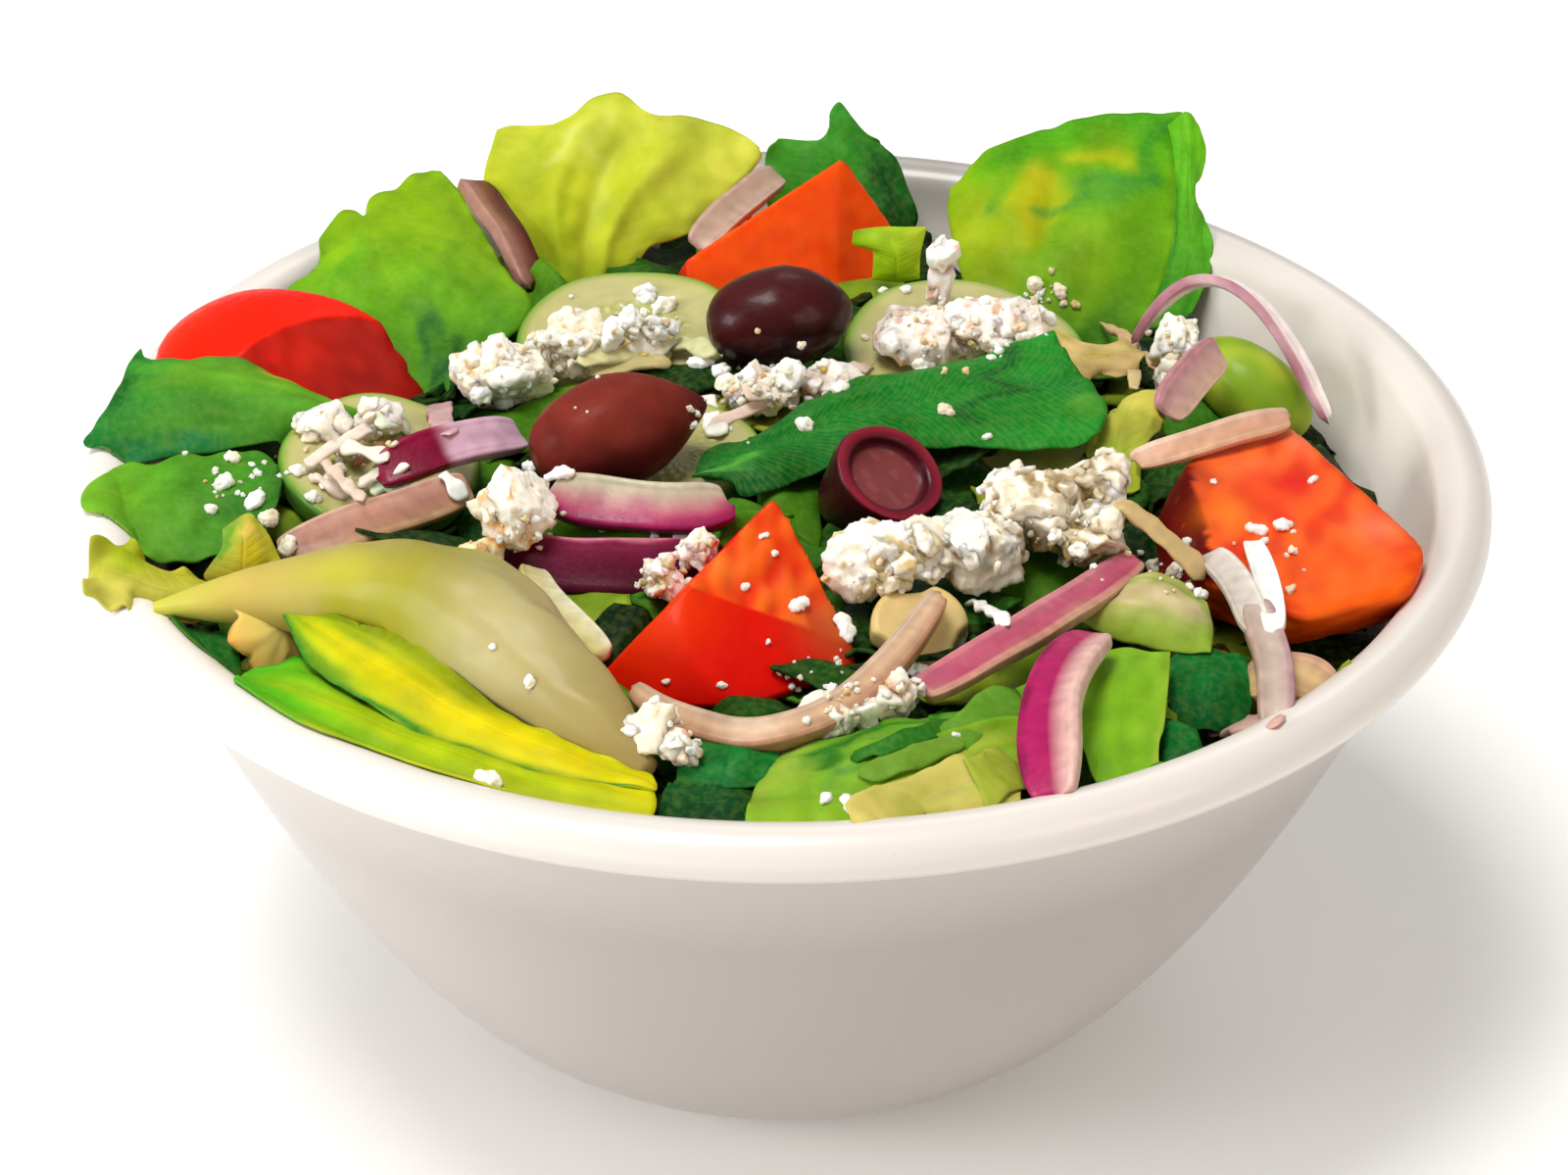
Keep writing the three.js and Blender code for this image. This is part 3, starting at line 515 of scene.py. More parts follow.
bowl = dress(bowl_mesh, "glazed_bowl", GLAZE, "glaze", ["bowl"], np.clip(tint, 0, 0.9))
print("bowl faces:", len(bowl.data.polygons))

# %% [markdown]
# ## Skins over rings and grids
# Most other pieces are one of two things: a row of rings with a skin drawn over it, such as the
# pepperoncino, or a sheet between two grids of points, such as a leaf.


# %% loft and sheet
def unit(v):
    return v / np.maximum(np.linalg.norm(v, axis=-1, keepdims=True), 1e-12)


def loft(rings):
    """A closed skin over rings of points that run counter-clockwise about their travel."""
    rings = np.asarray(rings, float)
    count, sides = rings.shape[:2]
    a = np.arange(sides)
    b = (a + 1) % sides
    faces = []
    for row in range(0, (count - 1) * sides, sides):
        faces += np.stack([a + row, b + row, b + row + sides, a + row + sides], 1).tolist()
    first, last = count * sides, count * sides + 1
    top = (count - 1) * sides
    faces += np.stack([b, a, np.full(sides, first)], 1).tolist()
    faces += np.stack([a + top, b + top, np.full(sides, last)], 1).tolist()
    points = np.vstack([rings.reshape(-1, 3), rings[0].mean(0), rings[-1].mean(0)])
    return points, faces


def ring_values(values, sides):
    """One value for each point of a loft from one for each ring."""
    return np.concatenate([np.repeat(values, sides), [values[0], values[-1]]])


def sheet(upper, lower):
    """A thin closed solid between two grids of points, its rim stitched."""
    rows, columns = upper.shape[:2]
    index = np.arange(rows * columns).reshape(rows, columns)
    quads = np.stack([index[:-1, :-1], index[1:, :-1], index[1:, 1:], index[:-1, 1:]], -1).reshape(-1, 4)
    under = quads[:, ::-1] + rows * columns
    rim = np.concatenate([index[:-1, 0], index[-1, :-1], index[:0:-1, -1], index[0, :0:-1]])
    after = np.roll(rim, -1)
    sides = np.stack([after, rim, rim + rows * columns, after + rows * columns], -1)
    points = np.vstack([upper.reshape(-1, 3), lower.reshape(-1, 3)])
    return points, np.vstack([quads, under, sides]).tolist()


def spine(start, end, bow, face, steps):
    """Places along a bowed line: share, point, direction, broad-face normal and across."""
    share = np.linspace(0, 1, steps + 1)
    k = share[:, None]
    a, b = np.array(start, float), np.array(end, float)
    middle = (a + b) / 2 + 2 * np.array(bow, float)
    p = (1 - k) ** 2 * a + 2 * k * (1 - k) * middle + k**2 * b
    t = unit(2 * (1 - k) * (middle - a) + 2 * k * (b - middle))
    n = unit(np.array(face, float) - t * (t @ np.array(face, float))[:, None])
    return share, p, t, n, np.cross(n, t)


# %% [markdown]
# ## What lies in the way
# A leaf that lies under an olive is pressed down by it. The toppings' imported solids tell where
# they are: a point of a leaf that would be inside one is lowered to just under it, and its
# neighbours give way with it, so that the leaf sags instead of being cut.

# %% toppings as obstacles
HEAP = "lettuce_heap"
GAP = 0.4


def tree_of(piece):
    mesh = piece.data
    points = coordinates(mesh) / MM
    return BVHTree.FromPolygons(points.tolist(), [list(f.vertices) for f in mesh.polygons])


OBSTACLES = []
for label, piece in frame["nodes"].items():
    if label not in (HEAP, "bowl"):
        low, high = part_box(label)
        OBSTACLES.append((label, tree_of(piece), np.array(low) / MM - GAP, np.array(high) / MM + GAP))
UP, DOWN = Vector((0, 0, 1)), Vector((0, 0, -1))


def under(tree, point):
    """How far a point inside a solid has to sink to be just under it, or 0 outside it."""
    place = Vector(point)
    hit = tree.ray_cast(place, UP)
    if hit[0] is None or hit[1].z < 0:
        return 0.0
    floor_hit = tree.ray_cast(place, DOWN)
    return floor_hit[3] + GAP if floor_hit[0] is not None else 0.0


SHEET_DEPTH, MOST_SINK = 0.9, 14  # what a leaf takes below its grid, and how far it sinks at most


def tuck(grid, soften, over=()):
    """Lowers a grid out of the toppings, but for those it lies over, and its neighbours sag too."""
    sink = np.zeros(grid.shape[:2])
    for label, tree, low, high in OBSTACLES:
        if label in over:
            continue
        near = ((grid > low) & (grid < high)).all(-1)
        for row, column in np.argwhere(near):
            depth = under(tree, grid[row, column])
            if depth:
                sink[row, column] = max(sink[row, column], min(depth + SHEET_DEPTH, MOST_SINK))
    wanted = sink.copy()
    for _ in range(soften):
        wide = np.pad(sink, 1, mode="edge")
        around = (wide[2:, 1:-1] + wide[:-2, 1:-1] + wide[1:-1, 2:] + wide[1:-1, :-2]) / 4
        sink = np.maximum(wanted, around)
    lowered = grid.copy()
    lowered[..., 2] -= sink
    return lowered


print("obstacles:", len(OBSTACLES))

# %% [markdown]
# ## Romaine
# Chopped romaine is smooth, wide pieces of leaf with a drawn-looking margin, softly folded and only
# lightly puckered. Each piece here is a sheet stretched between four drawn edges: the base, the
# left, the tip and the right. The sheet between them is relaxed until every point lies midway
# between its neighbours, as a stretched skin does, and then bulged and folded. Its greens are
# blended from its four corners, with soft strokes of colour over them, so one material serves all.


# %% leaf finish
def leaf_finish():
    made, tree, shader = recipe("romaine blade")
    tint = attribute(tree, "tint", "Color")
    along, across, fine = (attribute(tree, name) for name in ("along", "across", "fine"))
    cloud = grain(tree, 6, 5)
    shade = blend(tree, span(tree, cloud, 0.3, 0.7), (0.68, 0.72, 0.26, 1), (0.90, 0.86, 0.46, 1))
    colour = blend(tree, 1.0, tint, shade, "MULTIPLY")
    pores = span(tree, grain(tree, 1.1, 2), 0.35, 0.7)
    colour = blend(tree, calc(tree, "MULTIPLY", pores, 0.07), colour, linear(170, 195, 90))
    sweep = calc(tree, "ADD", along, calc(tree, "MULTIPLY", across, -0.35))
    wander = calc(tree, "MULTIPLY", grain(tree, 11, 2), 0.10)
    beat = calc(tree, "SINE", calc(tree, "MULTIPLY", calc(tree, "ADD", sweep, wander), 330))
    thread = calc(tree, "MULTIPLY", span(tree, beat, 0.1, 1.0), fine)
    colour = blend(tree, calc(tree, "MULTIPLY", thread, 0.15), colour, linear(110, 180, 80))
    feed(tree, shader.inputs["Base Color"], colour)
    feed(tree, shader.inputs["Roughness"], span(tree, grain(tree, 5, 3), 0.3, 0.75, 0.42, 0.58))
    constants(
        shader,
        Specular_IOR_Level=0.06, Subsurface_Weight=0.12, Subsurface_Radius=(0.9, 1.0, 0.2),
        Subsurface_Scale=1.0 * MM,
    )
    threads = bump(tree, shader, thread, 0.025)
    bump(tree, shader, grain(tree, 2.2, 2), 0.03, threads)
    return made


LEAF = leaf_finish()


# %% a sheet between four drawn edges
def smooth_line(knots, steps):
    """A curve through knots, each a row of numbers."""
    knots = np.asarray(knots, float)
    slopes = np.gradient(knots, axis=0)
    place = np.linspace(0, len(knots) - 1, steps + 1)
    i = np.minimum(place.astype(int), len(knots) - 2)
    k = (place - i)[:, None]
    a, b, m, n = knots[i], knots[i + 1], slopes[i], slopes[i + 1]
    line = (2 * k**3 - 3 * k**2 + 1) * a + (k**3 - 2 * k**2 + k) * m
    return line + (3 * k**2 - 2 * k**3) * b + (k**3 - k**2) * n


def even_line(knots, count):
    """The same curve with its points evenly spaced."""
    line = smooth_line(knots, 24 * len(knots))
    run = np.concatenate([[0], np.cumsum(np.linalg.norm(np.diff(line, axis=0), axis=1))])
    at = np.linspace(0, run[-1], count)
    return np.stack([np.interp(at, run, line[:, k]) for k in range(line.shape[1])], -1)


def stretched_sheet(leaf, rows, columns, relax=240):
    """A grid stretched between the four edges of a leaf, with its across and along shares."""
    low, high = leaf["base"], leaf["tip"]
    base, tip = even_line(low, columns + 1), even_line(high, columns + 1)
    left = even_line([low[0], *leaf["left"], high[0]], rows + 1)[:, None]
    right = even_line([low[-1], *leaf["right"], high[-1]], rows + 1)[:, None]
    u = np.linspace(0, 1, columns + 1)[None, :, None]
    v = np.linspace(0, 1, rows + 1)[:, None, None]
    corners = (1 - v) * ((1 - u) * base[0] + u * base[-1]) + v * ((1 - u) * tip[0] + u * tip[-1])
    grid = (1 - v) * base + v * tip + (1 - u) * left + u * right - corners
    for _ in range(relax):
        grid[1:-1, 1:-1] = (grid[2:, 1:-1] + grid[:-2, 1:-1] + grid[1:-1, 2:] + grid[1:-1, :-2]) / 4
    shape = grid.shape[:2]
    u, v = np.broadcast_to(u[..., 0], shape), np.broadcast_to(v[..., 0], shape)
    if (np.cross(grid[-1, 0] - grid[0, -1], grid[-1, -1] - grid[0, 0]) @ FACING) > 0:
        return grid, u, v
    return grid[:, ::-1], u[:, ::-1], v


FACING = np.array(toward)


def sheet_normal(grid):
    return unit(np.cross(np.gradient(grid, axis=0), np.gradient(grid, axis=1)))


# %% a leaf's colours
def stroke_share(u, v, start, end, width):
    """How much of a soft stroke from start to end lies on each point."""
    start, end = np.array(start, float), np.array(end, float)
    run = end - start
    place = np.stack([u, v], -1) - start
    k = np.clip(place @ run / max(run @ run, 1e-9), 0, 1)
    return bell(np.linalg.norm(place - k[..., None] * run, axis=-1), width)


def leaf_colours(leaf, u, v, seed):
    colours = [paint(*colour) for colour in leaf["corners"]]
    low, high = mix(colours[0], colours[1], u), mix(colours[2], colours[3], u)
    colour = mix(low, high, v)
    place = np.stack([u, v], -1)
    sway_u, sway_v = 0.03 * waves(place, 0.22, seed), 0.03 * waves(place, 0.3, seed + 1)
    for u0, v0, u1, v1, width, *tone, strength in leaf.get("strokes", []):
        share = stroke_share(u + sway_u, v + sway_v, (u0, v0), (u1, v1), width)
        colour = mix(colour, paint(*tone), strength * share)
    cloud = waves(place, 0.35, seed + 4)[..., None]
    return colour * (1 + 0.06 * cloud * np.array([1, 1, 1, 0]))


# %% over the lip, inside the wall
def clear_of_bowl(grid, gap=0.7):
    """Keeps a sheet inside the wall, and lifts what reaches past the wall onto the lip."""
    moved = grid.copy()
    reach = np.hypot(moved[..., 0], moved[..., 1])
    limit = inner_radius(np.minimum(moved[..., 2], WALL_TOP)) - gap
    below = moved[..., 2] < WALL_TOP
    pull = np.where(below & (reach > limit), limit / reach, 1)
    moved[..., :2] *= pull[..., None]
    over = (reach - (LIP_RADIUS - LIP_HALF_WIDTH)) / LIP_HALF_WIDTH
    crown = BOWL_HEIGHT - LIP_HALF_HEIGHT + LIP_HALF_HEIGHT * np.sqrt(np.clip(1 - over**2, 0, 1))
    on_lip = (np.abs(over) < 1) & ~below
    moved[..., 2] = np.where(on_lip, np.maximum(moved[..., 2], crown + gap), moved[..., 2])
    return moved


# %% growing a leaf
BLADE = 0.55  # thickness
RIB, SIDE_VEIN = 0.022, 0.09  # half widths, in shares of the leaf and of the gap between veins
SIDE_VEINS = 9
BACK_COLOUR = (140, 175, 70)


def grow_leaf(label, leaf, seed, rows=88, columns=64):
    """Makes one leaf as its own piece."""
    get = leaf.get
    grid, u, v = stretched_sheet(leaf, rows, columns)
    normal = sheet_normal(grid)
    dome = np.sin(np.pi * u) ** 0.8 * np.sin(np.pi * v) ** 0.8
    lift = get("bulge", 2) * dome
    for place, width, height in get("folds", []):
        lift = lift + height * bell(u - place + 0.06 * np.sin(5 * v), width) * np.sin(np.pi * v) ** 0.5
    edge = 1 - np.minimum(1, 8 * np.minimum(np.minimum(u, 1 - u), np.minimum(v, 1 - v)))
    lift = lift + get("ruffle", 0.25) * edge * waves(grid, 5, seed + 6)
    middle = grid + normal * (lift + 0.5 * dome * waves(grid, 16, seed + 2))[..., None]
    middle = tuck(clear_of_bowl(middle), soften=5, over=get("over", ()))
    normal = sheet_normal(middle)
    pucker = get("puckered", 0.5)
    from_rib = np.abs(u - get("rib", 0.5))
    order = SIDE_VEINS * (v - 0.45 * from_rib) + 0.5 * (u > get("rib", 0.5)) + 0.15 * waves(middle, 14, seed + 3)
    side = bell(np.abs(order - np.round(order)), SIDE_VEIN) * step(from_rib, 0.02, 0.08)
    vein = np.maximum(bell(from_rib, RIB), 0.55 * side) * np.sin(np.pi * v) ** 0.3
    height = pucker * (0.22 * waves(middle, 4.5, seed + 1) - 0.30 * vein) * (0.3 + 0.7 * dome)
    thick = BLADE * (1 - 0.3 * edge)
    points, faces = sheet(middle + normal * (height + thick / 2)[..., None],
                          middle + normal * (height - thick / 2)[..., None])
    colour = leaf_colours(leaf, u, v, seed)
    pale = colour * np.array([1.25, 1.15, 1.3, 1])
    colour = mix(colour, pale, 0.45 * pucker * vein).reshape(-1, 4)
    back = mix(colour, paint(*BACK_COLOUR), 0.3)
    twice = {key: np.concatenate([value.ravel()] * 2) for key, value in
             (("along", v), ("across", from_rib), ("fine", np.full(u.shape, 0.12 + 0.7 * get("fine", 0))))}
    return build(label, points, faces, LEAF, "lettuce", [HEAP], np.vstack([colour, back]), **twice)


# %% the leaves that show
# Left and right list what lies between the corners of base and tip. A stroke runs from one u, v to
# another, and then has its width, its colour and its strength.
# Some corners and strokes are painted shade: the dark teal at the foot of back_left, the darker base of
# left_folded, and the darker crease lines on front, middle_dark, front_left and front_left_flap. front_dark,
# right_dark and right_teal are whole leaves coloured dark as painted shade.
LEAVES = {
    "back_left": dict(base=[(-61.5, 32.5, 89), (-55.5, 27, 87.5), (-51, 25, 87)], left=[(-70.5, 46, 92),
        (-79, 51, 93), (-74, 57.5, 94.5)], tip=[(-74, 64.5, 96.5), (-71.5, 70.5, 97.5), (-69, 71.5, 98),
        (-67, 70, 97.5), (-66.5, 74.5, 98.5), (-62.5, 77.5, 99), (-58, 81.5, 100), (-55.5, 81.5, 100)],
        right=[(-50.5, 30, 88), (-45.5, 37.5, 90), (-40.5, 45, 92), (-39.5, 50.5, 93), (-43, 55, 94),
        (-46.5, 63, 96), (-49.5, 69.5, 97.5), (-52.5, 77, 99)], corners=[(90, 160, 40), (60, 145, 50),
        (120, 180, 40), (135, 190, 30)], bulge=3, rib=0.45,
        strokes=[(0.3, 0.95, 0.9, 0.8, 0.25, 136, 178, 10, 0.85),
        (0.25, 0.62, 0.3, 0.72, 0.08, 90, 170, 40, 0.7), (0.55, 0.35, 0.6, 0.18, 0.07, 15, 100, 70, 0.8),
        (0.8, 0.22, 0.75, 0.1, 0.08, 5, 85, 65, 0.8)]),
    "back_yellow": dict(base=[(-39, 65, 88), (-32, 64, 87), (-25, 66, 88.5)], left=[(-42.5, 71.5, 93),
        (-45.5, 76, 96.5), (-48.5, 79, 99)], tip=[(-46.5, 86.5, 105), (-44, 87, 105.5), (-38, 87, 105.5),
        (-34.5, 88.5, 106.5), (-31.5, 91, 108), (-27.5, 92, 109), (-25.5, 91.5, 108.5), (-21.5, 89, 106.5),
        (-16.5, 88.5, 106.5), (-12, 87.5, 106), (-7, 86, 104.5), (-4, 84, 103)], right=[(-21.5, 70, 92),
        (-15, 72, 93.5), (-13.5, 74, 95), (-9.5, 77, 97.5), (-4, 82, 101.5)], corners=[(176, 188, 36),
        (178, 190, 50), (196, 206, 70), (206, 210, 104)], bulge=3, folds=[(0.3, 0.05, 0.8), (0.5, 0.07, -1.0),
        (0.68, 0.05, 1.0)], puckered=0.3, strokes=[(0.28, 0.88, 0.3, 0.66, 0.035, 215, 222, 150, 0.8),
        (0.42, 0.9, 0.52, 0.35, 0.05, 205, 215, 120, 0.6), (0.62, 0.8, 0.6, 0.3, 0.05, 196, 202, 50, 0.6),
        (0.15, 0.6, 0.3, 0.3, 0.12, 180, 195, 35, 0.5), (0.35, 0.55, 0.4, 0.4, 0.1, 176, 186, 30, 0.6),
        (0.2, 0.05, 0.5, 0.0, 0.1, 140, 175, 40, 0.6)]),
    "back_dark": dict(base=[(0, 80.5, 85), (9.5, 80, 84), (18.5, 80.5, 85)], left=[(-2.5, 85, 91),
        (-3, 90, 98.5)], tip=[(-1, 91.5, 101), (6.5, 91.5, 101), (7.5, 94, 104.5), (9, 95, 106),
        (10.5, 94, 104.5), (12.5, 92, 102)], right=[(21.5, 83.5, 89.5), (21.5, 85, 91.5), (20, 87, 94.5),
        (19, 89, 97), (17, 90.5, 99.5)], corners=[(60, 150, 60), (10, 76, 40), (70, 164, 60), (40, 124, 56)],
        bulge=2, strokes=[(0.3, 0.6, 0.55, 0.8, 0.15, 50, 155, 60, 0.6),
        (0.8, 0.2, 0.85, 0.6, 0.12, 0, 60, 40, 0.8)]),
    "back_right": dict(base=[(33, 59.5, 84), (42, 56, 82), (53, 55, 81)], left=[(29, 66, 87.5),
        (26.5, 77, 94.5)], tip=[(27, 81.5, 96.5), (30.5, 85.5, 99), (33.5, 88.5, 100.5), (39, 90.5, 102),
        (45.5, 93, 103), (51, 94, 104), (58, 94.5, 104), (65, 94.5, 104)], right=[(59.5, 61, 85),
        (63.5, 66.5, 88), (65.5, 72, 91.5), (65.5, 78, 94.5), (65, 80.5, 96.5), (67, 83, 97.5),
        (66, 88.5, 101)], corners=[(112, 160, 30), (96, 152, 40), (140, 184, 20), (84, 176, 20)], bulge=4,
        folds=[(0.45, 0.06, -1.0)], rib=0.62, strokes=[(0.1, 0.7, 0.15, 0.4, 0.15, 165, 185, 20, 0.8),
        (0.3, 0.93, 0.8, 0.96, 0.12, 72, 160, 18, 0.95), (0.35, 0.55, 0.4, 0.7, 0.09, 195, 185, 10, 0.8),
        (0.6, 0.85, 0.75, 0.8, 0.06, 180, 190, 14, 0.8), (0.95, 0.3, 0.95, 0.7, 0.07, 126, 186, 34, 0.8),
        (0.22, 0.72, 0.22, 0.74, 0.05, 60, 155, 70, 0.6), (0.42, 0.62, 0.8, 0.68, 0.045, 30, 140, 80, 0.6),
        (0.8, 0.68, 0.88, 0.92, 0.045, 20, 135, 60, 0.6), (0.6, 0.35, 0.6, 0.4, 0.15, 140, 180, 40, 0.6),
        (0.75, 0.05, 0.6, 0.0, 0.12, 50, 125, 45, 0.7)]),
    "back_right_fold": dict(base=[(57, 57.5, 84), (61, 57.5, 84), (65, 60, 85.5)], left=[(61, 66, 89.5),
        (63, 74, 94), (63.5, 80.5, 98), (63, 87, 102)], tip=[(62.5, 91, 104), (65.5, 92.5, 105),
        (67.5, 91, 104)], right=[(68.5, 67, 90), (68, 73.5, 94), (66.5, 77, 96), (65, 78.5, 97), (67.5, 82, 99),
        (68.5, 86.5, 101.5)], corners=[(70, 140, 45), (60, 150, 50), (90, 180, 40), (110, 195, 40)], bulge=2,
        strokes=[(0.1, 0.1, 0.1, 0.6, 0.1, 30, 120, 60, 0.6)]),
    "left_folded": dict(base=[(-101, 0, 94), (-104, 1.5, 94.5), (-103, 4.5, 95.5), (-100.5, 9.5, 97.5),
        (-98.5, 15.5, 100), (-97, 19, 101)], left=[(-96.5, -2.5, 93), (-91, -1, 93.5), (-84, 0, 94),
        (-77.5, 1.5, 94.5), (-71.5, 3, 95), (-65.5, 4.5, 95.5)], tip=[(-61, 6, 96), (-61, 6.5, 96.5),
        (-61.5, 6.5, 96.5)], right=[(-96, 17, 100.5), (-90.5, 17, 100.5), (-83.5, 17.5, 100.5),
        (-79, 15.5, 100), (-76, 13.5, 99), (-71.5, 11, 98), (-65.5, 8, 97)], corners=[(10, 105, 70),
        (40, 140, 60), (80, 150, 50), (100, 165, 60)], bulge=3,
        strokes=[(0.75, 0.3, 0.8, 0.8, 0.18, 115, 180, 50, 0.7), (0.3, 0.3, 0.35, 0.8, 0.15, 85, 155, 50, 0.5),
        (0.9, 0.0, 0.5, 0.0, 0.05, 15, 90, 50, 0.8), (0.05, 0.15, 0.1, 0.35, 0.12, 0, 110, 80, 0.8),
        (0.97, 0.6, 0.97, 0.66, 0.05, 190, 190, 60, 0.9)]),
    "left_low": dict(base=[(-98.5, -19.5, 91.5), (-101.5, -17.5, 92), (-102.5, -14, 92.5), (-102, -11, 93),
        (-99.5, -7.5, 94), (-98, -4.5, 94.5)], left=[(-94, -23, 90.5), (-90, -25, 90), (-85, -25, 90),
        (-79.5, -23.5, 90.5)], tip=[(-75.5, -20.5, 91), (-74, -12.5, 93), (-73.5, -4, 94.5)],
        right=[(-93, -5, 94.5), (-89, -3, 95), (-83.5, -2.5, 95), (-78, -2.5, 95)], corners=[(110, 175, 50),
        (105, 175, 55), (50, 120, 60), (50, 130, 50)], bulge=2,
        strokes=[(0.5, 0.1, 0.5, 0.12, 0.15, 125, 185, 50, 0.6), (0.7, 0.5, 0.7, 0.6, 0.2, 65, 150, 45, 0.6),
        (0.15, 0.5, 0.15, 0.6, 0.15, 80, 160, 60, 0.5), (0.4, 0.8, 0.4, 0.85, 0.15, 50, 120, 70, 0.5)]),
    "left_curly": dict(base=[(-79, -44, 93), (-78.5, -42, 93.5), (-79.5, -40.5, 94)], left=[(-84.5, -46, 92),
        (-88.5, -46.5, 92), (-92.5, -45, 92.5), (-96, -43, 93.5)], tip=[(-98, -42, 93.5), (-99, -39.5, 94.5),
        (-98.5, -35, 96), (-97.5, -32, 97), (-95, -31.5, 97)], right=[(-82.5, -38, 95), (-85.5, -37, 95),
        (-90, -35.5, 95.5), (-91.5, -33.5, 96.5)], corners=[(206, 184, 120), (190, 182, 70), (196, 190, 120),
        (176, 182, 50)], bulge=1.5, ruffle=1.3, strokes=[(0.75, 0.75, 0.75, 0.8, 0.2, 158, 174, 14, 0.8),
        (0.3, 0.5, 0.3, 0.55, 0.15, 208, 200, 120, 0.6), (0.5, 0.2, 0.5, 0.25, 0.1, 195, 190, 60, 0.5)]),
    "left_yellow": dict(base=[(-81, -32.5, 90), (-78.5, -32.5, 90), (-74, -31, 91.5)], left=[(-83, -31.5, 91.5),
        (-80.5, -29, 94)], tip=[(-80.5, -27, 96.5), (-77, -25.5, 98), (-75.5, -26, 97.5)],
        right=[(-72, -30.5, 92.5), (-73.5, -28, 95)], corners=[(216, 186, 90), (204, 186, 60), (120, 168, 90),
        (190, 188, 90)], bulge=1.5, strokes=[(0.2, 0.9, 0.1, 0.6, 0.12, 90, 165, 60, 0.8),
        (0.7, 0.75, 0.6, 0.8, 0.12, 236, 186, 130, 0.7), (0.6, 0.4, 0.6, 0.5, 0.2, 222, 192, 30, 0.8)]),
    "left_under": dict(base=[(-86.5, -46.5, 91), (-82.5, -46, 91), (-79, -46.5, 91)], left=[(-81.5, -54, 89.5)],
        tip=[(-76, -58, 88.5), (-75.5, -56.5, 89), (-75.5, -55, 89)], right=[(-77, -49.5, 90.5)],
        corners=[(25, 100, 50), (30, 120, 60), (15, 80, 40), (30, 110, 50)], bulge=1),
    "front_left": dict(base=[(-75.5, -64.5, 92.5), (-75, -61, 92.5), (-73, -59, 93)], left=[(-67, -74, 92),
        (-62.5, -77.5, 91.5), (-54.5, -81.5, 91.5), (-47, -86, 91), (-41.5, -88, 91), (-34, -90.5, 90.5),
        (-26.5, -92, 90.5)], tip=[(-18, -94, 90.5), (-17, -90.5, 91), (-17.5, -86.5, 91)],
        right=[(-70, -57.5, 93), (-66.5, -56.5, 93), (-63, -61.5, 92.5), (-56.5, -67.5, 92.5), (-50, -74, 92),
        (-43.5, -78.5, 91.5), (-37, -81.5, 91.5), (-29, -84.5, 91)], corners=[(62, 178, 40), (74, 184, 35),
        (212, 206, 20), (220, 212, 4)], bulge=2, over=("pepperoncino",), puckered=0.3,
        strokes=[(0.5, 0.3, 0.5, 0.65, 0.2, 176, 196, 0, 0.9), (0.3, 0.1, 0.3, 0.15, 0.15, 76, 190, 30, 0.8),
        (1.0, 0.0, 1.0, 0.8, 0.06, 40, 145, 40, 0.9), (0.0, 0.3, 0.0, 0.9, 0.04, 200, 180, 60, 0.5),
        (0.3, 0.85, 0.3, 0.9, 0.15, 170, 190, 60, 0.6)]),
    "front_left_flap": dict(base=[(-70, -49.5, 96.5), (-70, -49, 96.5), (-69.5, -48, 96.5)],
        left=[(-68, -55, 95.5), (-66, -60, 95), (-62.5, -64.5, 94.5), (-56.5, -70, 94), (-50, -76, 93),
        (-43, -80, 92.5), (-37, -83, 92), (-29, -85.5, 91.5)], tip=[(-17.5, -87.5, 91.5), (-17, -87, 91.5),
        (-17, -86, 91.5)], right=[(-66, -50.5, 97.5), (-62.5, -53, 98), (-58, -56.5, 98.5),
        (-53.5, -58.5, 98.6), (-48.5, -63, 98), (-43, -68.5, 96.3), (-37.5, -73.2, 94.3), (-31, -76.5, 93.2),
        (-24.5, -80.5, 92.5), (-18.5, -83.5, 92)], corners=[(60, 160, 40), (120, 185, 40), (232, 220, 10),
        (235, 222, 10)], bulge=0.6, over=("pepperoncino",), puckered=0.25,
        strokes=[(0.6, 0.12, 0.6, 0.15, 0.15, 160, 190, 8, 0.8),
        (0.45, 0.38, 0.5, 0.75, 0.36, 222, 206, 0, 0.95), (0.95, 0.1, 0.92, 0.5, 0.2, 132, 142, 6, 0.85),
        (0.5, 0.9, 0.5, 0.92, 0.15, 222, 206, 20, 0.7), (0.0, 0.0, 0.0, 0.95, 0.1, 30, 130, 50, 0.95)]),
    "middle_dark": dict(base=[(-13.5, -10.5, 95.5), (-13, -10, 95.5), (-13, -9, 96)], left=[(-8, -11, 95.5),
        (-6.5, -14, 95), (-3, -14, 95), (2, -11, 95.5), (7, -8.5, 96), (14.5, -5.5, 96.5), (22.5, -3, 96.5),
        (29.5, -3.5, 96.5), (37.5, -4, 96.5)], tip=[(45, -2, 97), (47, 1, 97), (48, 7.5, 98),
        (43.5, 17.5, 99.5), (41, 25.5, 100.5)], right=[(-10.5, -3, 96.5), (-3.5, -1, 97), (2.5, 6.5, 98),
        (10.5, 13, 99), (18.5, 15.5, 99), (27.5, 18.5, 99.5), (34, 22, 100)], corners=[(0, 66, 36), (4, 90, 46),
        (30, 140, 62), (24, 146, 60)], bulge=3, folds=[(0.75, 0.06, 0.8)], puckered=0.35, fine=0.7,
        strokes=[(0.5, 0.2, 0.6, 0.6, 0.3, 10, 120, 52, 0.8), (0.5, 0.9, 0.5, 0.92, 0.15, 15, 120, 60, 0.7),
        (0.2, 0.72, 0.95, 0.9, 0.03, 0, 80, 50, 0.8), (0.25, 0.08, 0.4, 0.14, 0.04, 80, 175, 90, 0.8),
        (0.3, 1.0, 0.4, 1.0, 0.06, 100, 170, 80, 0.6)]),
    "middle_pale": dict(base=[(47.5, -6.5, 91), (50, -7.5, 90.5), (52.5, -6, 91)], left=[(45, 1.5, 93.5),
        (48, 7.5, 95)], tip=[(50, 10, 96), (52, 12.5, 96.5), (57.5, 13.5, 97)], right=[(53, 0, 93),
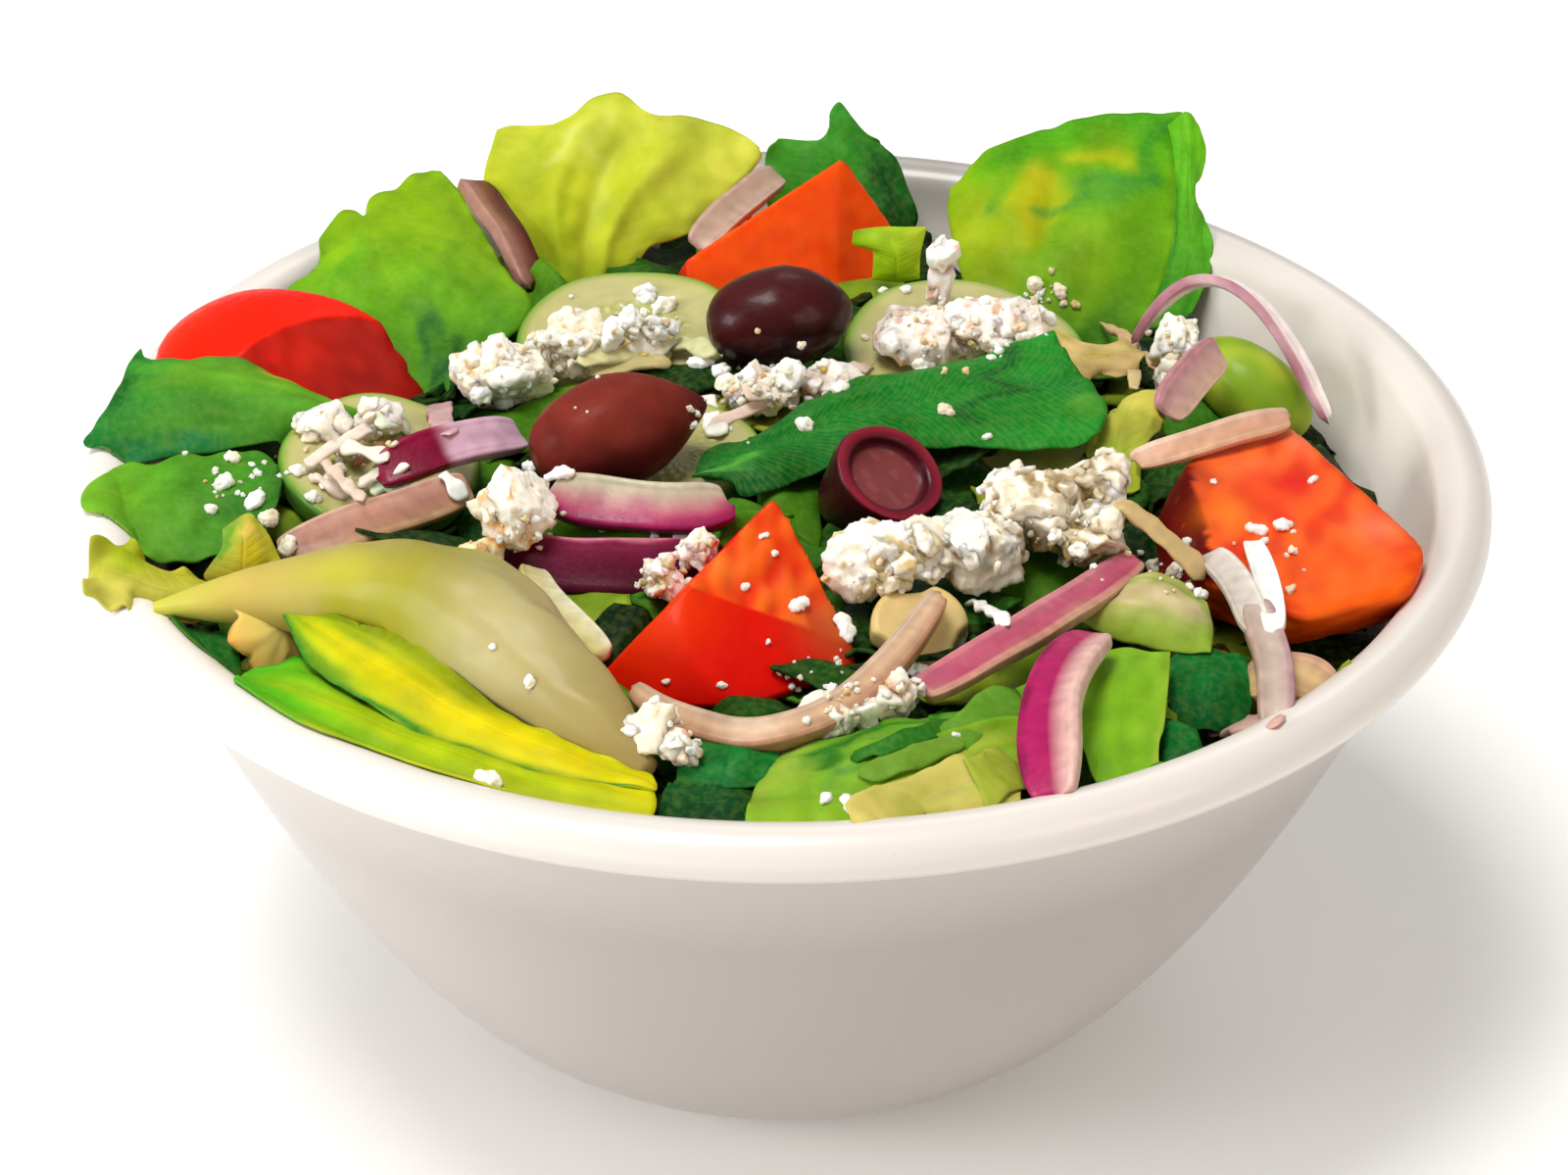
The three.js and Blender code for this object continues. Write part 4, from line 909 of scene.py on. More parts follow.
        (54.5, 4, 94), (56.5, 7.5, 95)], corners=[(150, 175, 50), (160, 180, 60), (205, 200, 120),
        (215, 205, 130)], bulge=1.5, ruffle=0.5, strokes=[(0.5, 0.25, 0.5, 0.3, 0.2, 130, 170, 40, 0.7),
        (0.5, 0.8, 0.5, 0.85, 0.2, 208, 202, 120, 0.6)]),
    "middle_torn": dict(base=[(42.5, 25, 95.5), (41.5, 28, 96.5), (41.5, 31.5, 98)], left=[(45.5, 21, 94),
        (47.5, 23.5, 94.5), (50.5, 22, 94.5)], tip=[(53.5, 24, 95), (55, 27, 96), (52.5, 29.5, 97)],
        right=[(45, 29, 97), (48.5, 28.5, 96.5)], corners=[(214, 180, 160), (204, 186, 160), (218, 190, 180),
        (214, 184, 170)], bulge=1, ruffle=0.6, strokes=[(0.5, 0.5, 0.5, 0.55, 0.15, 170, 150, 60, 0.6)]),
    "pale_rib": dict(base=[(41, -46.5, 93.5), (41.5, -45.5, 94), (42.5, -43.5, 94.5)], left=[(45.5, -50, 92.5),
        (54, -52.5, 91.5)], tip=[(59.5, -53, 91.5), (60, -49, 93), (59.5, -44.5, 94.5)], right=[(48, -40, 96),
        (54.5, -40, 96)], corners=[(160, 172, 90), (212, 188, 190), (140, 178, 70), (160, 178, 100)], bulge=3,
        puckered=0.2, strokes=[(0.6, 0.2, 0.6, 0.8, 0.2, 228, 198, 236, 0.8),
        (0.8, 0.1, 0.85, 0.9, 0.05, 120, 160, 60, 0.6), (0.1, 0.3, 0.1, 0.9, 0.06, 150, 182, 90, 0.6)]),
    "front_right": dict(base=[(42, -82, 89), (46, -81.5, 89), (50.5, -80.5, 89.5)], left=[(40.5, -74.5, 90.5),
        (40.5, -70, 91.5), (41.5, -63, 93)], tip=[(44, -56, 94), (49, -56, 94), (53.5, -57, 94)],
        right=[(51, -74.5, 90.5), (52, -69.5, 91.5)], corners=[(120, 180, 50), (140, 195, 60), (130, 185, 60),
        (150, 200, 70)], bulge=2, puckered=0.3, strokes=[(0.5, 0.4, 0.5, 0.6, 0.3, 125, 190, 35, 0.6),
        (1.0, 0.1, 1.0, 0.9, 0.05, 175, 205, 100, 0.7), (0.0, 0.3, 0.0, 0.5, 0.1, 80, 150, 45, 0.6)]),
    "right_dark": dict(base=[(54.5, -64.5, 87), (56.5, -65.5, 87), (59.5, -65.5, 87)], left=[(53, -60.5, 88.5)],
        tip=[(53.5, -53.5, 90.5), (57, -51.5, 91), (62.5, -51.5, 91), (65, -53.5, 90.5)],
        right=[(63.5, -64, 87.5), (65, -59, 89)], corners=[(0, 80, 50), (0, 90, 55), (0, 110, 65),
        (10, 120, 70)], bulge=1.5, strokes=[(0.4, 0.6, 0.4, 0.65, 0.2, 0, 120, 65, 0.5)]),
    "right_teal": dict(base=[(51.5, -75.5, 87), (54, -76, 87), (56.5, -75, 87)], left=[(51.5, -71, 88)],
        tip=[(52, -66, 89), (54.5, -67, 89), (56.5, -68.5, 88.5)], right=[(57, -72, 88)], corners=[(0, 100, 60),
        (0, 100, 60), (10, 125, 80), (10, 120, 70)], bulge=1),
    "front": dict(base=[(-5, -95, 89.5), (-5, -91, 90), (-3.5, -84.5, 90.5), (1.5, -74.5, 91.5)],
        left=[(0, -95, 89.5), (9, -94, 89.5), (17, -92.5, 90), (26, -90, 90)], tip=[(31.5, -88, 90.5),
        (32, -78.5, 91.5), (33.5, -63.5, 93)], right=[(6.5, -71.5, 92), (13.5, -71, 92), (20, -70.5, 92),
        (27, -67.5, 92.5)], corners=[(140, 182, 50), (70, 150, 70), (150, 188, 60), (110, 168, 44)], bulge=2.5,
        folds=[(0.62, 0.05, 1.2), (0.35, 0.05, -0.8)], puckered=0.4,
        strokes=[(0.9, 0.2, 0.95, 0.9, 0.12, 90, 156, 40, 0.8), (0.45, 0.3, 0.4, 0.34, 0.06, 50, 124, 96, 0.6),
        (0.3, 0.05, 0.7, 0.1, 0.1, 150, 172, 80, 0.7), (0.2, 0.5, 0.55, 0.9, 0.07, 176, 196, 84, 0.7),
        (0.6, 0.45, 0.62, 0.9, 0.05, 136, 180, 60, 0.7), (0.5, 0.2, 0.85, 0.33, 0.045, 30, 112, 40, 0.95),
        (0.85, 0.33, 0.97, 0.6, 0.04, 40, 118, 44, 0.95), (0.42, 0.4, 0.78, 0.75, 0.03, 56, 134, 44, 0.9),
        (0.9, 0.62, 0.8, 0.95, 0.03, 70, 140, 50, 0.8)]),
    "front_pale": dict(base=[(8, -96, 91), (8.5, -95.5, 91), (9, -95, 91)], left=[(17, -94.5, 91),
        (26, -92, 91.5)], tip=[(31.5, -90, 91.5), (31.5, -86, 92), (31, -82.5, 92.5)], right=[(15.5, -89, 91.5),
        (25.5, -82.5, 92.5)], corners=[(208, 196, 150), (176, 186, 110), (208, 194, 140), (150, 180, 80)],
        bulge=1.5, puckered=0.3, strokes=[(0.5, 0.4, 0.5, 0.5, 0.2, 220, 200, 168, 0.8),
        (0.95, 0.1, 1, 0.9, 0.06, 70, 130, 50, 0.8)]),
    "front_dark": dict(base=[(-17, -93, 89), (-10.5, -94, 89), (-5, -92.5, 89.5)], left=[(-16.5, -89, 90.5)],
        tip=[(-15.5, -85.5, 91.5), (-11.5, -86, 91.5), (-6.5, -87, 91)], right=[(-5, -89, 90.5)],
        corners=[(0, 50, 35), (0, 60, 40), (5, 80, 45), (0, 75, 50)], bulge=1,
        strokes=[(0.5, 0.2, 0.5, 0.25, 0.2, 0, 40, 28, 0.6)]),
    "front_teal": dict(base=[(-14.5, -84, 90), (-8, -85, 90), (-2, -84, 90)], left=[(-14, -79.5, 91.5)],
        tip=[(-12.5, -76, 92.5), (-6.5, -75.5, 92.5), (-1.5, -76.5, 92)], right=[(-0.5, -80.5, 91)],
        corners=[(10, 100, 60), (10, 110, 70), (10, 115, 70), (20, 130, 70)], bulge=1),
    "by_back_tomato": dict(base=[(14, 56.5, 93.5), (18, 56.5, 93), (21.5, 56.5, 93.5)], left=[(14, 58.5, 98),
        (11, 58.5, 98.5)], tip=[(11, 59.5, 100.5), (15.5, 59.5, 101), (22.5, 59.5, 101)],
        right=[(21.5, 58, 97)], corners=[(150, 190, 15), (165, 200, 20), (140, 185, 20), (185, 205, 70)],
        bulge=1, puckered=0.3),
    "right_wall": dict(base=[(60, 6, 82), (66, 8, 80), (74, 12, 80)], left=[(58, 20, 84)], tip=[(60, 34, 86),
        (64, 38, 85), (69, 37, 84)], right=[(74, 24, 81)], corners=[(40, 90, 30), (50, 110, 40), (60, 130, 40),
        (50, 120, 50)], bulge=2),
}
for number, (label, leaf) in enumerate(LEAVES.items()):
    grow_leaf(f"leaf_{label}", leaf, 100 + 17 * number)
print("leaves:", len(LEAVES))

# %% [markdown]
# ## The imported core and torn scraps
# Under the leaves that show lies a close-packed core, coloured near-black green and dark purple as
# painted shade. What fills the gaps between leaves is many torn scraps, the darkest of them painted
# shade too. They are dealt out on the core in the sunflower pattern, which spreads points evenly,
# and turned at random. A scrap lies under the leaves and toppings that are already there.

# %% the core
CORE_TOP = 92
CORE_EDGE_DROP = 8
CORE_HOLLOW = 11
HOLLOW_AZIMUTH = math.radians(32)
WALL_CLEARANCE = 1.8
SCRAP_ROOM = 5.0  # how far the fine core lies under the solid one, to make room for scraps


def core_top(x, y):
    reach = np.minimum(1, np.hypot(x, y) / float(inner_radius(CORE_TOP - CORE_EDGE_DROP)))
    toward_hollow = np.maximum(0, np.cos(np.arctan2(y, x) - HOLLOW_AZIMUTH))
    swell = 1.6 * np.sin(x / 7.1) * np.cos(y / 8.3) * (1 - reach**4)
    return CORE_TOP - CORE_EDGE_DROP * reach**3 - CORE_HOLLOW * reach**2 * toward_hollow**3 + swell


def packed_core(sides=120):
    angle = round_turn(sides)
    x, y = np.cos(angle), np.sin(angle)
    edge = core_top(x * LIP_RADIUS, y * LIP_RADIUS) - SCRAP_ROOM
    rings = []
    floor_height = FOOT_RECESS + BASE_THICKNESS + 3
    for share in np.linspace(0, 1, 12):
        z = floor_height + (edge - floor_height) * share
        r = inner_radius(z) - WALL_CLEARANCE
        rings.append(np.stack([x * r, y * r, z], -1))
    for share in np.linspace(0.97, 0.03, 34):
        r = share * (inner_radius(edge) - WALL_CLEARANCE)
        flat = np.stack([x * r, y * r], -1)
        z = core_top(x * r, y * r) - SCRAP_ROOM + 1.6 * waves(flat, 13, 3) - 1.2 * (share > 0.9)
        rings.append(np.stack([x * r, y * r, z], -1))
    return loft(rings)


core_points, core_faces = packed_core()
# Painted shade: the core is near-black green, with patches of dark purple.
core_colour = mix(
    paint(10, 36, 14) + 0 * core_points[:, :1],
    paint(34, 18, 24),
    step(waves(core_points, 16, 8), 0.4, 1.2),
)


def lettuce(name, points, faces, colours):
    """A piece of lettuce with no veins."""
    plain = dict.fromkeys(("along", "across", "fine"), np.zeros(len(points)))
    build(name, points, faces, LEAF, "lettuce", [HEAP], colours, **plain)


lettuce("packed_core", core_points, core_faces, core_colour)

# %% torn scraps between the leaves
SCRAPS = 130
SCRAP_REACH = 88
GOLDEN_TURN = math.pi * (3 - math.sqrt(5))
# The second and fourth pairs, the darkest greens, are painted shade for the gaps between leaves.
SCRAP_COLOURS = [
    ((40, 104, 30), (86, 142, 36)),
    ((8, 52, 20), (30, 92, 32)),
    ((110, 150, 44), (160, 180, 70)),
    ((2, 34, 16), (8, 58, 28)),
    ((156, 168, 76), (196, 196, 120)),
]
shown = [tree_of(piece) for piece in bpy.data.objects if piece.name.startswith("leaf_")]


def ceiling(x, y, top):
    """The height of the lowest leaf over a spot, or top where there is none."""
    for tree in shown:
        hit = tree.ray_cast(Vector((x, y, 40)), UP)
        if hit[0] is not None:
            top = min(top, hit[0].z - 0.6)
    return top


def press_down(grid):
    """Keeps a scrap under the leaves that show and inside the wall."""
    pressed = clear_of_bowl(grid)
    for place in np.ndindex(grid.shape[:2]):
        x, y, z = pressed[place]
        pressed[place][2] = min(z, ceiling(x, y, z))
    return tuck(pressed, soften=2)


def torn_edge(start, end, rng, knots=5):
    """A ragged line from one corner of a scrap to the next."""
    line = np.linspace(start, end, knots)
    line[1:-1] += rng.normal(size=(knots - 2, 3)) * (0.9, 0.9, 0.5)
    return line


def scrap(number, rng):
    """One torn scrap, laid on the core: points, faces and colours."""
    reach = SCRAP_REACH * math.sqrt((number + 0.5) / SCRAPS)
    x, y = reach * math.cos(number * GOLDEN_TURN), reach * math.sin(number * GOLDEN_TURN)
    heading = rng.uniform(0, 2 * math.pi)
    long_way = np.array([math.cos(heading), math.sin(heading), rng.uniform(-0.25, 0.25)])
    wide_way = np.array([-math.sin(heading), math.cos(heading), rng.uniform(-0.5, 0.3)])
    at = np.array([x, y, core_top(x, y) - 0.4 + rng.uniform(-1.5, 1.2)])
    half_long, half_wide = rng.uniform(8, 13), rng.uniform(5, 9)
    a, b, c, d = (
        at + long_way * half_long * i * rng.uniform(0.8, 1.1) + wide_way * half_wide * j * rng.uniform(0.6, 1.1)
        for i, j in ((-1, -1), (-1, 1), (1, -1), (1, 1))
    )
    low, high = SCRAP_COLOURS[rng.choice(len(SCRAP_COLOURS), p=[0.26, 0.30, 0.12, 0.26, 0.06])]
    leaf = dict(
        base=torn_edge(a, b, rng), tip=torn_edge(c, d, rng), left=torn_edge(a, c, rng)[1:-1],
        right=torn_edge(b, d, rng)[1:-1], corners=[low, low, high, high],
    )
    seed = 900 + number
    grid, u, v = stretched_sheet(leaf, 18, 12, relax=30)
    dome = np.sin(np.pi * u) * np.sin(np.pi * v)
    grid = grid + sheet_normal(grid) * (rng.uniform(-1, 2.5) * dome + 0.4 * waves(grid, 8, seed))[..., None]
    grid = press_down(grid)
    normal = sheet_normal(grid)
    points, faces = sheet(grid + normal * 0.3, grid - normal * 0.3)
    colour = leaf_colours(leaf, u, v, seed).reshape(-1, 4)
    return points, faces, np.vstack([colour, colour])


def heap_of(parts):
    """Joins parts of (points, faces, colours) into one."""
    points, faces, colours, count = [], [], [], 0
    for p, f, c in parts:
        points.append(p)
        faces += [[int(v) + count for v in face] for face in f]
        colours.append(c)
        count += len(p)
    return np.vstack(points), faces, np.vstack(colours)


rng = np.random.default_rng(41)
points, faces, colours = heap_of([scrap(number, rng) for number in range(SCRAPS)])
# Painted shade: a scrap is darker the lower it lies in the heap.
colours[:, :3] *= (0.35 + 0.65 * step(points[:, 2], 80, 93))[:, None]
lettuce("torn_scraps", points, faces, colours)
print("scraps:", SCRAPS, "faces:", len(faces))

# %% [markdown]
# ## Wet finishes
# Olives, tomato, onion, cucumber and pepper are all wet and a little see-through, and differ in
# how much, in their mottling and in their fine relief. One recipe with those as its values makes
# them: tint from the piece, a soft mottle, light that goes in and comes out again, and a clear,
# shiny coat for the film of brine and oil.

# %% wet finish
def wet_finish(name, mottle, mottle_size, rough, coat, depth, radius, relief, relief_size, shine=0.2):
    made, tree, shader = recipe(name)
    tint = attribute(tree, "tint", "Color")
    cloud = grain(tree, mottle_size, 4)
    dark, light = 1 - mottle, 1 + mottle
    shade = blend(tree, span(tree, cloud, 0.28, 0.72), (dark,) * 3 + (1,), (light,) * 3 + (1,))
    feed(tree, shader.inputs["Base Color"], blend(tree, 1.0, tint, shade, "MULTIPLY"))
    fine = grain(tree, relief_size, 3)
    feed(tree, shader.inputs["Roughness"], span(tree, fine, 0.3, 0.7, rough * 0.8, rough * 1.25))
    constants(
        shader,
        Specular_IOR_Level=shine, Coat_Weight=coat, Coat_Roughness=0.07, Coat_IOR=1.35,
        Subsurface_Weight=depth, Subsurface_Radius=radius, Subsurface_Scale=1.2 * MM,
    )
    bump(tree, shader, fine, relief)
    return made


BLACK_OLIVE = wet_finish("black olive skin", 0.10, 5, 0.34, 0.12, 0.05, (1.0, 0.3, 0.2), 0.03, 0.9, 0.14)
BROWN_OLIVE = wet_finish("brown olive skin", 0.12, 4, 0.45, 0.03, 0.08, (1.0, 0.3, 0.2), 0.06, 0.7, 0.05)
TOMATO = wet_finish("tomato", 0.06, 4, 0.42, 0.05, 0.16, (1.4, 0.3, 0.1), 0.05, 1.6, 0.07)
PEPPER = wet_finish("pickled pepper", 0.05, 9, 0.40, 0.08, 0.4, (1.2, 1.1, 0.4), 0.03, 3.0, 0.15)
CUCUMBER = wet_finish("cucumber", 0.06, 5, 0.36, 0.12, 0.35, (1.0, 1.2, 0.6), 0.06, 1.2)
ONION = wet_finish("red onion", 0.07, 3, 0.36, 0.12, 0.25, (1.1, 0.6, 0.8), 0.05, 0.7)

# %% [markdown]
# ## Kalamata olives
# Two whole olives, one almost black and one brown, are almond shapes with a faint point and a
# small pit where the stem was. A third is cut in half and pitted: a dark skin, a paler ring of
# flesh and a smooth hollow. The bodies are turned, laid along X and then softly dented, because
# no olive is quite round.

# %% whole olives
AXIS_TO_X = np.array(Matrix.Rotation(math.pi / 2, 4, "Y"))
OLIVES = {
    "olive_black": dict(
        at=(-1, 29, 101), yaw=12, pitch=-4, length=22, radius=7.9, seed=4,
        low=(18, 3, 8), high=(66, 16, 18), finish=BLACK_OLIVE, tip=0.7,
    ),
    "olive_brown": dict(
        at=(-25, -5.5, 100.5), yaw=24, pitch=-6, length=26, radius=8.2, seed=9,
        low=(78, 22, 22), high=(116, 42, 32), finish=BROWN_OLIVE, tip=1.9,
    ),
}


def olive_outline(length, radius, steps=48):
    line = []
    for i in range(steps + 1):
        turn = math.pi * i / steps
        x = -length / 2 * math.cos(turn)
        line.append((radius * math.sin(turn) ** 0.92 * (1 - 0.1 * max(0, x / length) ** 1.5), x))
    return line


def whole_olive(label, olive):
    mesh = turned(label, olive_outline(olive["length"], olive["radius"]), 90, 96, olive["finish"])
    points = placed(coordinates(mesh) / MM, AXIS_TO_X)
    share = 2 * points[:, 0] / olive["length"]
    seed = olive["seed"]
    points[:, 1:] *= (1 + 0.02 * waves(points, 13, seed) + 0.004 * waves(points, 4, seed + 1))[:, None]
    off_axis = np.hypot(points[:, 1], points[:, 2])
    points[:, 0] += 0.9 * bell(off_axis, 1.1) * (share < -0.8)
    points[:, 0] += olive["tip"] * bell(off_axis, 2.8) * step(share, 0.6, 0.9)
    points[:, 1:] *= (1 - 0.14 * (olive["tip"] > 1) * step(share, 0.2, 1.0))[:, None]
    # Painted light and shade: a whole olive is coloured from its low tone underneath to its lighter high tone on
    # top.
    rise = step(points[:, 2] / olive["radius"] + 0.15 * waves(points, 9, seed + 2), -0.6, 0.9)
    tint = mix(
        ramp(rise, (0, *olive["low"]), (1, *olive["high"])),
        paint(150, 96, 70),
        0.55 * bell(off_axis, 1.3) * (share < -0.9),
    )
    move_points(mesh, placed(points, spot(olive["at"], olive["yaw"], olive["pitch"])) * MM)
    return dress(mesh, label + "_fruit", olive["finish"], label, [label], tint)


for label, olive in OLIVES.items():
    whole_olive(label, olive)

# %% the pitted half
OLIVE_HALF = dict(at=(15.5, -16.5, 99.8), yaw=30, pitch=14, roll=36, length=17.5, radius=8, depth=15)


def half_olive_outline():
    """In shares of the half length: skin from below, a rounded rim, the cut face, the hollow."""
    line = [(math.sin(a), -math.cos(a)) for a in np.linspace(0, math.radians(86), 30)]
    line += [(0.99, -0.03), (0.972, -0.008), (0.95, 0.0), (0.86, -0.004), (0.78, -0.02), (0.735, -0.06)]
    line += [(0.71, -0.13), (0.68, -0.17)]
    line += [(0.66 * math.cos(b), -0.18 - 0.10 * math.sin(b)) for b in np.linspace(0.05, math.pi / 2, 20)]
    return line


def pitted_half(olive):
    mesh = turned("olive_half", half_olive_outline(), 150, 96, BLACK_OLIVE)
    points = coordinates(mesh) / MM
    whole = np.linalg.norm(points, axis=1)
    rim = np.hypot(points[:, 0], points[:, 1])
    skin = step(whole, 0.93, 0.985) * (1 - step(points[:, 2], -0.03, -0.005))
    points *= np.array([olive["length"] / 2, olive["radius"], olive["radius"]])
    points[:, 2] *= 1 + (olive["depth"] / olive["radius"] - 1) * skin
    points[:, :2] *= 1 + 0.02 * waves(points, 9, 31)[:, None]
    tint = ramp(
        rim, (0, 132, 66, 66), (0.6, 124, 56, 58), (0.66, 84, 20, 30), (0.74, 58, 8, 20),
        (0.82, 116, 22, 40), (0.93, 138, 34, 52), (1, 96, 16, 30),
    )
    tint = mix(tint, paint(150, 84, 80), 0.4 * step(waves(points, 2.4, 5), 0.4, 1.4) * (rim < 0.62))
    tint = mix(tint, paint(46, 10, 14), skin)
    matrix = spot(olive["at"], olive["yaw"], olive["pitch"], olive["roll"])
    move_points(mesh, placed(points, matrix) * MM)
    return dress(mesh, "olive_half_fruit", BLACK_OLIVE, "olive_brown", ["olive_half"], tint)


pitted_half(OLIVE_HALF)

# %% [markdown]
# ## Tomato chunks
# A chunk is a ball cut by straight strokes of a knife: smooth skin on one side, wet flesh with
# fibres and a seed pocket on the others. Seen from a point inside, the surface in each direction is
# the nearest of the ball and the cuts. A soft minimum of those distances rounds the edges, and says
# which face each point is on, which tells skin from flesh.

# %% a carved ball
def inside_point(size, cuts, seed=1):
    """The middle of a carved ball: the mean of random points that are in it."""
    rng = np.random.default_rng(seed)
    tries = rng.uniform(-1, 1, (20000, 3))
    tries = tries[np.linalg.norm(tries, axis=1) < 1] * size
    for direction, distance in cuts:
        tries = tries[tries @ unit(np.array(direction, float)) < distance]
    return tries.mean(0)


def ball_directions(detail):
    shape = bmesh.new()
    bmesh.ops.create_icosphere(shape, subdivisions=detail, radius=1)
    rays = np.array([v.co[:] for v in shape.verts])
    faces = [[v.index for v in f.verts] for f in shape.faces]
    shape.free()
    return unit(rays), faces


def carve(size, cuts, sharpness, detail=6):
    """Points, faces and, for each point, the share of the skin and of each cut."""
    size = np.array(size, float)
    centre = inside_point(size, cuts)
    rays, faces = ball_directions(detail)
    a = ((rays / size) ** 2).sum(1)
    b = (rays * centre / size**2).sum(1)
    c = ((centre / size) ** 2).sum() - 1
    near = [1 / ((-b + np.sqrt(b**2 - a * c)) / a)]
    for direction, distance in cuts:
        normal = unit(np.array(direction, float))
        near.append(np.maximum(rays @ normal, 1e-9) / (distance - centre @ normal))
    near = np.array(near)
    strongest = near.max(0)
    power = (near / strongest) ** sharpness
    reach = 1 / (strongest * power.sum(0) ** (1 / sharpness))
    return centre + rays * reach[:, None], faces, power / power.sum(0), rays


# %% chunks
# Each chunk's spots are soft marks of colour: mostly the fruit's own reds and oranges, while the pale pink ones
# on the right chunk are painted sheen.
TOMATOES = {
    "tomato_front": dict(at=(-10, -37, 78.5), size=(26.5, 26.5, 26.5), ribs=0.26, flesh=(214, 46, 8),
        ripe=(238, 100, 24), skins=(1, 2, 3), sharpness=60, cuts=[((0.39, -0.24, 0.89), 22),
        ((0.33, -0.6, 0.73), 23.4), ((-0.72, 0.35, 0.6), 11.4), ((0.9, 0.43, 0), 12.3), ((0, 0, -1), -9.5)],
        blots=[((-18, -50, 97), 8, (236, 70, 4), 0.75), ((8, -48, 94), 6, (170, 84, 40), 0.85),
        ((-1, -41, 99.5), 3, (200, 40, 12), 0.5), ((-8, -45, 101), 3, (246, 130, 50), 0.6)]),
    "tomato_right": dict(at=(72, -26, 94.5), size=(19.8, 27, 15), ribs=0.05, flesh=(212, 50, 4),
        ripe=(234, 92, 22), skins=(), tone=(220, 62, 4), sharpness=30, pocket=((4, 8), (96, 4, 10)),
        cuts=[((0.03, -0.07, 1), 2.6), ((0.88, 0.475, 0), 14.8), ((-0.63, 0.775, 0), 20.3),
        ((-0.8, -0.1, 0.59), 11.7), ((-0.52, -0.66, -0.54), 15.4), ((0, 0, -1), 9), ((0.3, -0.7, -0.65), 16.6),
        ((-1, 0, 0), 18.5)], blots=[((74, -16, 98), 3.5, (206, 16, 4), 0.9),
        ((57.5, -13, 97), 4.2, (90, 0, 8), 1.0), ((56.5, -22, 96), 3.4, (120, 2, 10), 0.9),
        ((80, -42, 96), 10, (240, 100, 12), 0.7), ((76, -1, 98), 6, (244, 132, 92), 0.7),
        ((63.5, -24, 97), 4, (250, 130, 20), 0.7), ((66, -10, 97), 4.5, (240, 116, 60), 0.7),
        ((85, -27, 97), 3.5, (246, 130, 90), 0.6), ((70, -22, 97), 5, (224, 52, 10), 0.6)]),
    "tomato_back": dict(at=(3, 66, 91.5), size=(20, 22, 19), ribs=0.03, flesh=(236, 70, 6), ripe=(240, 80, 10),
        skins=(4,), tone=(214, 50, 10), sharpness=60, cuts=[((0.28, -0.79, 0.54), 2.9),
        ((0.6, -0.66, 0.45), 4.5), ((-0.58, 0.5, 0.64), 9.8), ((0.8, 0.3, 0.5), 15.2), ((0, 1, 0), 9),
        ((0, 0, -1), 6)], blots=[((14, 62, 98), 6, (222, 56, 12), 0.7)]),
    "tomato_left": dict(at=(-76, 29, 90), size=(22, 20, 13), ribs=0.08, flesh=(166, 22, 16), ripe=(190, 36, 24),
        tone=(236, 28, 4), sharpness=60, cuts=[((0.45, -0.75, 0.5), 10.5), ((0.43, 0.9, 0), 7.3),
        ((-0.45, 0.2, -0.9), 4.5), ((0, 0, -1), 7)], blots=[((-92, 33, 96), 6, (248, 60, 8), 0.5),
        ((-77.5, 24, 95), 7.5, (232, 30, 6), 1.0)]),
}
SKIN = (214, 12, 2)


def tomato_chunk(label, tomato, seed):
    get = tomato.get
    points, faces, shares, rays = carve(tomato["size"], tomato["cuts"], tomato["sharpness"])
    skin = step(shares[0] + sum(shares[k + 1] for k in get("skins", ())), 0.35, 0.75)
    fibre = waves(points * np.array([1, 0.35, 1]), 3.4, seed) + 0.5 * waves(points, 7, seed + 1)
    relief = (1 - skin) * tomato["ribs"] * fibre + skin * 0.10 * waves(points, 16, seed + 2)
    points = points + rays * relief[:, None]
    flesh = ramp(step(fibre, -1.8, 1.8), (0, *tomato["flesh"]), (1, *tomato["ripe"]))
    tint = mix(flesh, paint(*get("tone", SKIN)), skin)
    if "pocket" in tomato:
        cuts, tone = tomato["pocket"]
        deep = step(sum(shares[k] for k in cuts) * (1 + 0.3 * waves(points, 3, seed + 4)), 0.2, 0.42)
        tint = mix(tint, paint(*tone), deep)
    points = placed(points, spot(tomato["at"]))
    # Soft spots of colour, partly the fruit's own and partly painted sheen.
    for at, size, tone, strength in tomato["blots"]:
        near = bell(np.linalg.norm(points - at, axis=1), size)
        tint = mix(tint, paint(*tone), strength * near)
    return build(label + "_chunk", points, faces, TOMATO, "tomato", [label], tint)


for number, (label, tomato) in enumerate(TOMATOES.items()):
    tomato_chunk(label, tomato, 60 + 7 * number)

# %% [markdown]
# ## The pepperoncino
# A whole pickled pepper: a thin stem, a star of dried sepals at its shoulder, and a pale, limp body
# that swells and then narrows to its tip. Its skin is thin and see-through, so light glows in it.
# The body is a loft along its own bent line, with shallow furrows that run lengthwise.

# %% pepper body
PEPPER_LINE = [
    ((-88.5, -45, 94.2), 0.8), ((-80, -45.5, 95.6), 3.0), ((-70, -45.5, 96.5), 5.2), ((-55, -47.5, 97), 8.8),
    ((-43, -55, 96.5), 10.4), ((-32, -67, 95), 7.8), ((-24, -76, 93), 4.8), ((-18, -82.5, 90.5), 1.6),
]
SEPALS = dict(at=(-70, -48.5, 93.6), facing=(0.55, -0.55, 0.62), count=7, reach=8.4, waist=6.4, thickness=1.2)


def rings_along(centres, directions, radii, sides, shape):
    """Rings square to a line, each with its radius; shape(turn, ring) scales them."""
    up = unit(np.array([0, 0, 1.0]) - directions * directions[:, 2:])
    across = np.cross(up, directions)
    turn = round_turn(sides)
    reach = radii[:, None] * shape(turn[None, :], np.arange(len(radii))[:, None])
    return (
        centres[:, None]
        + across[:, None] * (reach * np.cos(turn))[..., None]
        + up[:, None] * (reach * np.sin(turn))[..., None]
    )


